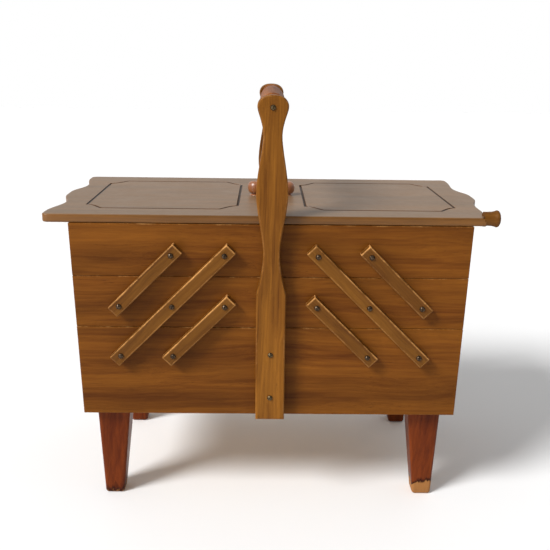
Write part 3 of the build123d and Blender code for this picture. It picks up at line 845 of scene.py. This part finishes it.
def add_arm(work, sizes, band, span, low_y, high_y, seed):
    """One arm between two pivots, at the depth from low_y to high_y."""
    start, end = Vector(span[0]), Vector(span[1])
    along = (end - start).normalized()
    across = Vector((along.z, 0, -along.x))
    middle = (start + end) / 2
    reach = (end - start).length / 2 + sizes.arm_end
    half = sizes.arm_width / 2
    corners = box_corners((-reach, -half), (reach, half))
    ring_at = lambda amount: rounded(corners, sizes.arm_round, band, amount)

    def place(u, v, w):
        point = middle + along * u + across * v
        return Vector((point.x, high_y - w, point.z))

    grain = grain_frame(along, seed)
    loops = plate(work, ring_at, high_y - low_y, sizes.arm_round, band, place, grain)
    capped(work, loops[0], loops[-1])


class SEWINGBOX_OT_arms(bpy.types.Operator):
    """The arms that carry the trays"""
    bl_idname = "sewing_box.arms"
    bl_label = "Arms"

    def execute(self, context):
        sizes = context.scene.sewing_box_trim
        band = context.scene.sewing_box_boards.band * 0.8
        seed = 70
        for side in SIDES:
            spans = arm_spans(side)
            front_low, front_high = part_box(f"{side}_front_long_arm")
            back_low, back_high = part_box(f"{side}_back_long_arm")
            depths = {"front": (front_low.y, front_high.y), "back": (back_low.y, back_high.y)}
            for kind in spans:
                works = {}
                for face, (low_y, high_y) in depths.items():
                    label = f"{side}_{kind}_arm_{face}" if kind == "long" else f"{side}_{kind}_arm_pair"
                    if label not in works:
                        works[label] = bmesh.new()
                        layers_of(works[label])
                    add_arm(works[label], sizes, band, spans[kind], low_y, high_y, seed)
                    seed += 1
                for label, work in works.items():
                    node = f"{side}_{kind}_arms"
                    if kind == "long":
                        node = f"{side}_front_long_arm" if "front" in label else f"{side}_back_long_arm"
                    new_piece(label, to_mesh(label, work), "arm", f"{side}_{kind}_arms", [node])
        return {"FINISHED"}


# Lids.

def lid_half(sizes, inner_x, side_y, ear_x):
    """Back half of the left lid's plan, from its inner corner round the ear and along the scallop."""
    corner, tip = sizes.ear_corner, side_y - sizes.ear_corner
    ear = [(-ear_x, sizes.ear_flat), (-sizes.scallop_x, sizes.scallop_y), (-sizes.bulge_x, sizes.bulge_flat)]
    slopes = [(0, -0.062), (0, -0.058), (0, -0.055)]
    made = [(inner_x, side_y, 1.0)]
    for step in range(7):
        turn = step / 6 * math.pi / 2
        made.append((-ear_x + corner * (1 - math.sin(turn)), tip + corner * math.cos(turn), 0.6))
    for place in range(2):
        curve = hermite(ear[place], ear[place + 1], slopes[place], slopes[place + 1], 18)
        made += [(point.x, point.y, 0.0) for point in curve]
    return made + [(-sizes.bulge_x, sizes.bulge_flat, 0.0)]


def lid_outline(sizes, inner_x, side_y, back_ear_x):
    """Plan of the left lid, counter-clockwise, seen from above."""
    back = lid_half(sizes, inner_x, side_y, back_ear_x)
    front = [(u, -v, flag) for u, v, flag in reversed(lid_half(sizes, inner_x, side_y, sizes.ear_x))]
    return divided(back + front, 7 * MM)


def groove_line(sizes):
    """The groove's outer edge on the left lid, counter-clockwise: long sides and S-shaped corners."""
    low, high = -sizes.groove_outer, -sizes.groove_inner
    side, clip = sizes.groove_side, sizes.groove_clip
    made = []
    for sign_x, sign_y in ((1, 1), (-1, 1), (-1, -1), (1, -1)):
        x = high if sign_x > 0 else low
        start, end = (x, sign_y * (side - clip)), (x - sign_x * clip, sign_y * side)
        leaving, arriving = (-sign_x * clip * 1.5, sign_y * clip * 0.2), (-sign_x * clip, sign_y * clip * 0.9)
        curve = hermite(start, end, leaving, arriving, 8) + [Vector(end)]
        made += curve if sign_x == sign_y else list(reversed(curve))
    return [(point.x, point.y, 0.0) for point in made]


class SEWINGBOX_OT_lids(bpy.types.Operator):
    """The two lids, with their scalloped ends and cut lines"""
    bl_idname = "sewing_box.lids"
    bl_label = "Lids"

    def execute(self, context):
        sizes = context.scene.sewing_box_lids
        band = context.scene.sewing_box_boards.band
        for side, sign in (("left", 1), ("right", -1)):
            low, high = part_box(f"{side}_lid_panel")
            inner_x = high.x if side == "left" else -low.x
            back_ear_x = getattr(sizes, f"{side}_back_ear_x")
            outline = lid_outline(sizes, inner_x, high.y, back_ear_x)
            if side == "right":
                outline = self.shortened(sizes, outline)
            work = bmesh.new()
            layers_of(work)
            grain = grain_frame((1, 0, 0), 40 + sign)
            place = lambda u, v, w: Vector((u * sign, v, low.z + w))
            ring_at = lambda amount: inset(outline, amount)
            loops = plate(work, ring_at, high.z - low.z, sizes.round_over, band, place, grain)
            capped(work, loops[-1])
            slant = sizes.groove_slant if side == "right" else 0.0
            self.cut_top(work, loops[0], sizes, place, high.z - low.z, grain, slant)
            new_piece(f"{side}_lid_board", to_mesh(f"{side}_lid_board", work), "lid veneer",
                f"{side}_lid", [f"{side}_lid_panel"])
        return {"FINISHED"}

    def shortened(self, sizes, outline):
        """The right lid's outline, whose front ear narrows to the turned knob and ends inside it."""
        low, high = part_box("right_lid_end_knob")
        end = -low.x - sizes.into_knob
        made = []
        for u, v, flag in outline:
            narrowing = max(0.0, v - high.y) * 0.26
            limit = end - min(narrowing, 5 * MM)
            made.append((max(u, limit) if v < -sizes.scallop_y else u, v, flag))
        return made

    def cut_top(self, work, rim_loop, sizes, place, thick, grain, slant):
        """The lid's top: a flat border, a V groove all round and a flat field inside it."""
        fibres, cut = work.verts.layers.float_vector[GRAIN], work.verts.layers.float[CUT]
        loops = []
        line = groove_line(sizes)
        for share, drop in ((0, 0), (0.12, 0.6), (0.5, 1), (0.88, 0.6), (1, 0)):
            loop = []
            for u, v, _ in inset(line, sizes.groove_width * share):
                outwards = (u + sizes.groove_inner) / (sizes.groove_inner - sizes.groove_outer)
                lean = slant * max(0.0, outwards) * (v + sizes.groove_side) / (2 * sizes.groove_side)
                vert = work.verts.new(place(u + lean, v, thick - drop * sizes.groove_depth))
                vert[cut] = drop
                vert[fibres] = grain(vert.co)
                loop.append(vert)
            loops.append(loop)
        skinned(work, loops)
        capped(work, loops[-1])
        edges = [loop_edge(work, loop, step) for loop in (rim_loop, loops[0]) for step in range(len(loop))]
        bmesh.ops.triangle_fill(work, use_beauty=True, edges=edges)


def loop_edge(work, loop, step):
    """The edge between two neighbours of a closed loop, made if it isn't there."""
    pair = (loop[step], loop[(step + 1) % len(loop)])
    return work.edges.get(pair) or work.edges.new(pair)


# Legs.

class SEWINGBOX_OT_legs(bpy.types.Operator):
    """The four tapered legs"""
    bl_idname = "sewing_box.legs"
    bl_label = "Legs"

    def execute(self, context):
        for seed, (depth, side) in enumerate((d, s) for d in ("front", "back") for s in SIDES):
            node = f"{depth}_{side}_leg"
            outwards = -1 if side == "left" else 1
            mesh_data = self.leg(context, node, outwards, 80 + seed)
            new_piece(f"leg_{depth}_{side}", mesh_data, "leg", "base", [node])
        return {"FINISHED"}

    def leg(self, context, node, outwards, seed):
        """Square rings from the top to a softened foot."""
        sizes = context.scene.sewing_box_legs
        low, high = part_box(node)
        top_half = (high.x - low.x) / 2
        middle = (low + high) / 2
        height = high.z - low.z
        grain = grain_frame((0.04, 0.02, 1), seed)
        work = bmesh.new()
        rim, fibres = layers_of(work)
        scuff = work.verts.layers.float[SCUFF]
        scuffed = {"front_right_leg": 1.0, "front_left_leg": 0.42}.get(node, 0.2)
        levels = [(0.0, sizes.toe, 1.0), (sizes.toe * 0.35, sizes.toe * 0.25, 1.0), (sizes.toe, 0.0, 0.8)]
        levels += [(height * step / 12, 0.0, 0.0) for step in range(1, 12)]
        levels += [(height - 1.2 * MM, 0.0, 0.0), (height, 0.0, 0.0)]
        loops = []
        for level, pull, worn in levels:
            share = level / height
            half = sizes.foot / 2 + (top_half - sizes.foot / 2) * share - pull
            x = middle.x + outwards * sizes.foot_shift * (1 - share)
            corners = box_corners((x - half, middle.y - half), (x + half, middle.y + half))
            ring = rounded(corners, sizes.corner, 1.6 * MM, steps=4)
            loop = []
            for u, v, corner in ring:
                vert = work.verts.new((u, v, low.z + level))
                vert[rim] = max(worn, 0.8 * corner)
                vert[scuff] = scuffed * max(0.0, 1 - level / (2 * sizes.scuff))
                vert[fibres] = grain(vert.co)
                loop.append(vert)
            loops.append(loop)
        skinned(work, loops)
        capped(work, loops[0], loops[-1])
        return to_mesh(node + "_mesh", work, 40.0)


# Turned parts.

def lathe(name, profile, steps, place, grain):
    """A turned solid. profile holds (distance along the axis, radius, wear); place puts it in the frame."""
    work = bmesh.new()
    rim, fibres = layers_of(work)
    loops = []
    for along, radius, worn in profile:
        loop = []
        for step in range(steps):
            turn = step / steps * math.tau
            vert = work.verts.new(place(along, radius * math.cos(turn), radius * math.sin(turn)))
            vert[rim] = worn
            vert[fibres] = grain(vert.co)
            loop.append(vert)
        loops.append(loop)
    skinned(work, loops)
    capped(work, loops[0], loops[-1])
    return to_mesh(name, work, 38.0)


def turned_piece(label, node, body, material, axis, start, profile, steps, seed):
    """A turned piece along one axis of the frame, its profile measured from start."""
    low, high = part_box(node)
    origin = (low + high) / 2
    origin[axis] = start
    first, second = (other for other in range(3) if other != axis)

    def place(along, one, two):
        point = origin.copy()
        point[axis] += along
        point[first] += one
        point[second] += two
        return point

    direction = [float(other == axis) for other in range(3)]
    mesh_data = lathe(label, profile, steps, place, grain_frame(direction, seed))
    new_piece(label, mesh_data, material, body, [node])


def handle_profile(sizes, half):
    """The handle from its middle outwards: a swelling, a groove, a bead, a groove and the end."""
    end_start = half - HANDLE_END_LENGTH
    bead_end = end_start - HANDLE_GROOVE_LENGTH
    bead_start = bead_end - HANDLE_BEAD_LENGTH
    shaft_end = bead_start - HANDLE_GROOVE_LENGTH
    made = []
    for step in range(25):
        share = step / 24
        ease = 0.5 - 0.5 * math.cos(share * math.pi)
        made.append((shaft_end * share, sizes.swell + (sizes.shaft - sizes.swell) * ease, 0.0))
    made += [(shaft_end + 0.5 * MM, sizes.shaft - 0.4 * MM, 0.5), (shaft_end + 0.8 * MM, sizes.groove, 0.0)]
    made.append((bead_start, sizes.groove, 0.0))
    for step in range(1, 12):
        turn = step / 12 * math.pi
        swell = (sizes.bead - sizes.groove) * math.sin(turn) ** 0.8
        along = (bead_start + bead_end) / 2 - math.cos(turn) * (bead_end - bead_start) / 2
        made.append((along, sizes.groove + swell, 0.4))
    made += [(bead_end, sizes.groove, 0.0), (end_start - 0.4 * MM, sizes.groove, 0.0)]
    made += [(end_start, sizes.end - 0.5 * MM, 0.5), (end_start + 0.5 * MM, sizes.end, 0.3)]
    made.append((half, sizes.end, 0.0))
    return made


def knob_profile(sizes, height, radius):
    """A knob from its foot upwards: a short neck and a ball with full sides and a flattened top."""
    foot = 1.4 * MM
    middle, rise = (height + foot) / 2, (height - foot) / 2
    made = [(0.0, sizes.knob_neck + 0.5 * MM, 0.0), (0.7 * MM, sizes.knob_neck, 0.2)]
    for step in range(25):
        turn = math.pi * 0.9 * (1 - step / 24)
        along = math.copysign(abs(math.cos(turn)) ** 0.85, math.cos(turn))
        made.append((middle + rise * along, max(radius * max(0.0, math.sin(turn)) ** 0.6, 0.12 * MM), 0.0))
    return made


def end_knob_profile(length, radius):
    """The knob on the right lid's ear: a short waisted neck, a raised rim and a low dome."""
    made = []
    neck, rim_at, lip = radius * 0.82, length * 0.76, length * 0.79
    for step in range(13):
        share = step / 12
        made.append((rim_at * share, neck + (radius - neck) * share ** 4, 0.0))
    made += [((rim_at + lip) / 2, radius, 0.6), (lip, radius * 0.995, 0.8)]
    for step in range(1, 13):
        turn = step / 12 * math.pi / 2
        along = lip + (length - lip) * math.sin(turn)
        made.append((along, max(radius * math.cos(turn) ** 0.6, 0.15 * MM), 0.1))
    return made


class SEWINGBOX_OT_turned(bpy.types.Operator):
    """The turned handle and the knobs"""
    bl_idname = "sewing_box.turned"
    bl_label = "Handle and Knobs"

    def execute(self, context):
        sizes = context.scene.sewing_box_turned
        low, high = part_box("handle_bar")
        half = handle_profile(sizes, (high.y - low.y) / 2)
        profile = [(-along, radius, worn) for along, radius, worn in reversed(half)] + half[1:]
        middle = (low.y + high.y) / 2
        turned_piece("handle_grip", "handle_bar", "base", "handle", 1, middle, profile, sizes.steps, 91)
        steps = sizes.steps // 2
        for seed, side in enumerate(SIDES):
            node, label = f"{side}_lid_knob", f"{side}_knob"
            low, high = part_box(node)
            profile = knob_profile(sizes, high.z - low.z, (high.x - low.x) / 2)
            turned_piece(label, node, f"{side}_lid", "knob", 2, low.z, profile, steps, 92 + seed)
        node = "right_lid_end_knob"
        low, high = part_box(node)
        profile = end_knob_profile(high.x - low.x, (high.z - low.z) / 2)
        turned_piece("right_end_knob", node, "right_lid", "arm", 0, low.x, profile, steps, 95)
        return {"FINISHED"}


# Screws, by a node tree.

def screw_tree():
    """Round heads with a turned slot on each point, facing along the point's own direction."""
    inputs = [("Geometry", "NodeSocketGeometry", None), ("Radius", "NodeSocketFloat", 0.003)]
    inputs += [("Height", "NodeSocketFloat", 0.002), ("Slot Width", "NodeSocketFloat", 0.001)]
    inputs += [("Slot Depth", "NodeSocketFloat", 0.001), ("Seed", "NodeSocketInt", 0)]
    inputs += [("Material", "NodeSocketMaterial", None)]
    outputs = [("Geometry", "NodeSocketGeometry")]
    graph, given, out = new_group("Screw heads", inputs, outputs, "GeometryNodeTree")
    ball = graph.add("GeometryNodeMeshUVSphere", {"Segments": 28, "Rings": 18, "Radius": 1.0}).outputs["Mesh"]
    shape = combined(graph, given["Radius"], given["Radius"], given["Height"])
    dome = graph.add("GeometryNodeTransform", {"Geometry": ball, "Scale": shape}).outputs[0]
    wide = times(graph, given["Radius"], 3.0)
    slot_size = combined(graph, wide, given["Slot Width"], given["Height"])
    slot = graph.add("GeometryNodeMeshCube", {"Size": slot_size}).outputs["Mesh"]
    lift = minus(graph, times(graph, given["Height"], 1.5), given["Slot Depth"])
    slot_place = combined(graph, z=lift)
    slot = graph.add("GeometryNodeTransform", {"Geometry": slot, "Translation": slot_place}).outputs[0]
    under_size = combined(graph, wide, wide, given["Height"])
    under = graph.add("GeometryNodeMeshCube", {"Size": under_size}).outputs["Mesh"]
    sink = combined(graph, z=times(graph, given["Height"], -0.5))
    under = graph.add("GeometryNodeTransform", {"Geometry": under, "Translation": sink}).outputs[0]
    head = graph.add("GeometryNodeMeshBoolean", {"Mesh 1": dome}, operation="DIFFERENCE")
    graph.tree.links.new(slot, head.inputs["Mesh 2"])
    graph.tree.links.new(under, head.inputs["Mesh 2"])
    facing = graph.add("GeometryNodeInputNamedAttribute", {"Name": "facing"}, data_type="FLOAT_VECTOR")
    aim = graph.add("FunctionNodeAlignRotationToVector", {"Vector": facing.outputs[0]}, axis="Z").outputs[0]
    spin = graph.add("FunctionNodeRandomValue", data_type="FLOAT")
    spin.inputs[3].default_value = math.tau
    graph.feed(spin.inputs["Seed"], given["Seed"])
    turn = graph.add("FunctionNodeAxisAngleToRotation", {"Axis": (0, 0, 1), "Angle": spin.outputs[1]})
    turns = {0: aim, 1: turn.outputs[0]}
    both = graph.add("FunctionNodeRotateRotation", turns, rotation_space="LOCAL").outputs[0]
    values = {"Points": given["Geometry"], "Instance": head.outputs["Mesh"], "Rotation": both}
    spread_out = graph.add("GeometryNodeInstanceOnPoints", values)
    real = graph.add("GeometryNodeRealizeInstances", {0: spread_out.outputs[0]}).outputs[0]
    smooth = graph.add("GeometryNodeSetShadeSmooth", {0: real}).outputs[0]
    painted = graph.add("GeometryNodeSetMaterial", {"Geometry": smooth, "Material": given["Material"]})
    graph.feed(out["Geometry"], painted.outputs[0])
    return graph.tree


def grown(name, points, tree, values):
    """The plain mesh that a node tree grows on points, each a (place, direction) pair."""
    seeds = bpy.data.meshes.new(name + "_points")
    seeds.from_pydata([tuple(place) for place, _ in points], [], [])
    facing = seeds.attributes.new("facing", "FLOAT_VECTOR", "POINT")
    for item, (_, direction) in zip(facing.data, points):
        item.vector = direction
    holder = bpy.data.objects.new(name + "_holder", seeds)
    bpy.context.scene.collection.objects.link(holder)
    modifier = holder.modifiers.new("Grown", "NODES")
    modifier.node_group = tree
    sockets = {item.name: item.identifier for item in tree.interface.items_tree if item.in_out == "INPUT"}
    for label, value in values.items():
        modifier[sockets[label]] = value
    graph = bpy.context.evaluated_depsgraph_get()
    data = bpy.data.meshes.new_from_object(holder.evaluated_get(graph))
    holder.modifiers.remove(modifier)
    bpy.data.objects.remove(holder)
    if not data.polygons:
        raise RuntimeError(f"{name}: the node tree made nothing")
    data.set_sharp_from_angle(angle=math.radians(35))
    return data


def screw_boxes(node):
    """The low and high corner of each screw in a CAD node, always in the same order."""
    source = bmesh.new()
    source.from_mesh(frame["nodes"][node].data)
    bmesh.ops.remove_doubles(source, verts=source.verts, dist=0.001 * MM)
    found, waiting = [], set(source.verts)
    while waiting:
        stack, part = [waiting.pop()], []
        while stack:
            vert = stack.pop()
            part.append(vert.co.copy())
            for edge in vert.link_edges:
                other = edge.other_vert(vert)
                if other in waiting:
                    waiting.remove(other)
                    stack.append(other)
        found.append((Vector(map(min, *part)), Vector(map(max, *part))))
    source.free()
    return sorted(found, key=lambda box: tuple(round(part, 5) for part in box[0]))


class SEWINGBOX_OT_screws(bpy.types.Operator):
    """Round-headed screws on the uprights, pivots, legs and knobs"""
    bl_idname = "sewing_box.screws"
    bl_label = "Screws"

    def execute(self, context):
        sizes = context.scene.sewing_box_screws
        tree = screw_tree()
        jobs = [("upright_heads", "base", "upright_screws", 1, "aged brass"),
                ("base_pivot_heads", "base", "base_pivot_screws", 1, "dull steel"),
                ("leg_heads", "base", "leg_screws", 2, "dull steel")]
        for side in SIDES:
            for tray in TRAYS:
                body = f"{side}_{tray}_tray"
                jobs.append((f"{side}_{tray}_pivot_heads", body, body + "_pivot_screws", 1, "dull steel"))
            jobs.append((f"{side}_knob_head", f"{side}_lid", f"{side}_knob_screw", 2, "dull steel"))
        for job in jobs:
            self.heads(sizes, tree, *job)
        return {"FINISHED"}

    def heads(self, sizes, tree, label, body, node, axis, material):
        """One mesh of heads for one CAD node, whose screws lie along the given axis."""
        points = []
        for low, high in screw_boxes(node):
            middle = (low + high) / 2
            outwards = Vector((0, 0, 0))
            if axis == 1:
                outwards.y = -1 if middle.y < 0 else 1
                middle.y = low.y + sizes.height if middle.y < 0 else high.y - sizes.height
            elif "knob" in node:
                outwards.z = -1
                middle.z = low.z + sizes.height
            else:
                outwards.z = 1
                middle.z = high.z - sizes.height
            points.append((middle, outwards))
        values = {"Radius": sizes.radius, "Height": sizes.height, "Slot Width": sizes.slot_width,
                  "Slot Depth": sizes.slot_depth, "Seed": sizes.seed, "Material": finish(material)}
        data = grown(label, points, tree, values)
        new_piece(label, data, material, body, [node])


class SEWINGBOX_OT_hinges(bpy.types.Operator):
    """Finish on the hinge leaves"""
    bl_idname = "sewing_box.hinges"
    bl_label = "Hinges"

    def execute(self, context):
        for side in SIDES:
            for part in ("tray", "lid"):
                node = frame["nodes"][f"{side}_hinge_{part}_leaves"]
                node.data.materials.clear()
                node.data.materials.append(finish("hinge brass"))
        return {"FINISHED"}


# Stage.

def stage_material():
    """A pale, matt floor with the faintest mottling."""
    material, graph, shader = new_material("stage floor")
    place = graph.add("ShaderNodeTexCoord").outputs["Object"]
    mottle = noise(graph, place, 3.0, 3.0)
    graph.feed(shader.inputs["Base Color"], blend_colour(graph, mottle, *FLOOR_TONES))
    shader.inputs["Roughness"].default_value = 0.9
    return material


def area_light(name, place, target, side, power):
    """A square light that faces a point."""
    data = bpy.data.lights.new(name, "AREA")
    data.shape, data.size, data.energy = "SQUARE", side, power
    light = bpy.data.objects.new(name, data)
    light.location = place
    light.rotation_euler = (Vector(target) - Vector(place)).to_track_quat("-Z", "Y").to_euler()
    bpy.context.scene.collection.objects.link(light)


class SEWINGBOX_OT_stage(bpy.types.Operator):
    """Floor, light and camera"""
    bl_idname = "sewing_box.stage"
    bl_label = "Stage"

    def execute(self, context):
        settings = context.scene.sewing_box_stage
        self.floor(settings)
        self.light(context.scene, settings)
        self.camera(context.scene, settings)
        return {"FINISHED"}

    def floor(self, settings):
        data = bpy.data.meshes.new("floor")
        half = settings.floor
        corners = [(*corner, 0) for corner in box_corners((-half, -half), (half, half))]
        data.from_pydata(corners, [], [(0, 1, 2, 3)])
        data.materials.append(stage_material())
        floor = bpy.data.objects.new("floor", data)
        bpy.context.scene.collection.objects.link(floor)
        floor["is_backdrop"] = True

    def light(self, scene, settings):
        scene.view_settings.view_transform = "Standard"
        scene.world = self.surroundings(settings)
        data = bpy.data.lights.new("key", "SUN")
        data.energy, data.angle = settings.key, math.radians(KEY_SPREAD)
        key = bpy.data.objects.new("key", data)
        key.rotation_euler = Vector(KEY_WAY).to_track_quat("-Z", "Y").to_euler()
        scene.collection.objects.link(key)
        area_light("fill", FILL_PLACE, FILL_AIM, FILL_SIDE, settings.fill)

    def surroundings(self, settings):
        """A plain white backdrop to the eye, which lights the box from above and behind."""
        world = bpy.data.worlds.new("pale surroundings")
        world.use_nodes = True
        world.node_tree.nodes.clear()
        graph = Graph(world.node_tree)
        way = graph.add("ShaderNodeTexCoord").outputs["Generated"]
        part = graph.add("ShaderNodeSeparateXYZ", {0: way}).outputs
        behind = plus(graph, times(graph, part[1], 0.75), times(graph, part[2], 0.65))
        strength = spread(graph, behind, -0.6, 0.5, settings.room, settings.sky)
        lit = graph.add("ShaderNodeBackground", {"Color": (1, 1, 1, 1), "Strength": strength}).outputs[0]
        seen = graph.add("ShaderNodeBackground", {"Color": (1, 1, 1, 1), "Strength": 1.0}).outputs[0]
        eye = graph.add("ShaderNodeLightPath").outputs["Is Camera Ray"]
        both = graph.add("ShaderNodeMixShader", {0: eye, 1: lit, 2: seen}).outputs[0]
        graph.add("ShaderNodeOutputWorld", {"Surface": both})
        return world

    def camera(self, scene, settings):
        data = bpy.data.cameras.new("view")
        data.lens, data.sensor_width = settings.lens, 36.0
        camera = bpy.data.objects.new("view", data)
        pan, tilt, roll = (Matrix.Rotation(math.radians(turn), 4, axis) for turn, axis in CAMERA_TURNS)
        camera.matrix_world = Matrix.Translation(CAMERA_PLACE) @ (pan @ tilt @ roll)
        scene.collection.objects.link(camera)
        scene.camera = camera


OPERATORS = (
    SEWINGBOX_OT_base_box, SEWINGBOX_OT_trays, SEWINGBOX_OT_uprights, SEWINGBOX_OT_arms, SEWINGBOX_OT_lids,
    SEWINGBOX_OT_legs, SEWINGBOX_OT_turned, SEWINGBOX_OT_screws, SEWINGBOX_OT_hinges, SEWINGBOX_OT_stage,
)
SETTINGS = {
    "sewing_box_boards": BoardSizes,
    "sewing_box_trim": TrimSizes,
    "sewing_box_lids": LidSizes,
    "sewing_box_turned": TurnedSizes,
    "sewing_box_screws": ScrewSizes,
    "sewing_box_legs": LegSizes,
    "sewing_box_woods": WoodColours,
    "sewing_box_stage": StageSettings,
}


class SEWINGBOX_PT_panel(bpy.types.Panel):
    """The steps and sizes, in the sidebar"""
    bl_label = "Sewing Box"
    bl_space_type = "VIEW_3D"
    bl_region_type = "UI"
    bl_category = "Sewing Box"

    def draw(self, context):
        layout = self.layout
        for operator in OPERATORS:
            layout.operator(operator.bl_idname)
        for name, group in SETTINGS.items():
            box = layout.box()
            box.label(text=group.__doc__)
            for label in group.__annotations__:
                box.prop(getattr(context.scene, name), label)


def register():
    for made in (*SETTINGS.values(), *OPERATORS, SEWINGBOX_PT_panel):
        bpy.utils.register_class(made)
    for name, group in SETTINGS.items():
        setattr(bpy.types.Scene, name, PointerProperty(type=group))


def unregister():
    for name in SETTINGS:
        delattr(bpy.types.Scene, name)
    for made in (SEWINGBOX_PT_panel, *reversed(OPERATORS), *SETTINGS.values()):
        bpy.utils.unregister_class(made)


def main():
    register()
    for operator in OPERATORS:
        family, name = operator.bl_idname.split(".")
        getattr(getattr(bpy.ops, family), name)()
    boxes = {"cad": CAD_BOX, "visual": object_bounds()}
    {name: [list(corner) for corner in box] for name, box in boxes.items()}


if __name__ == "__main__":
    main()
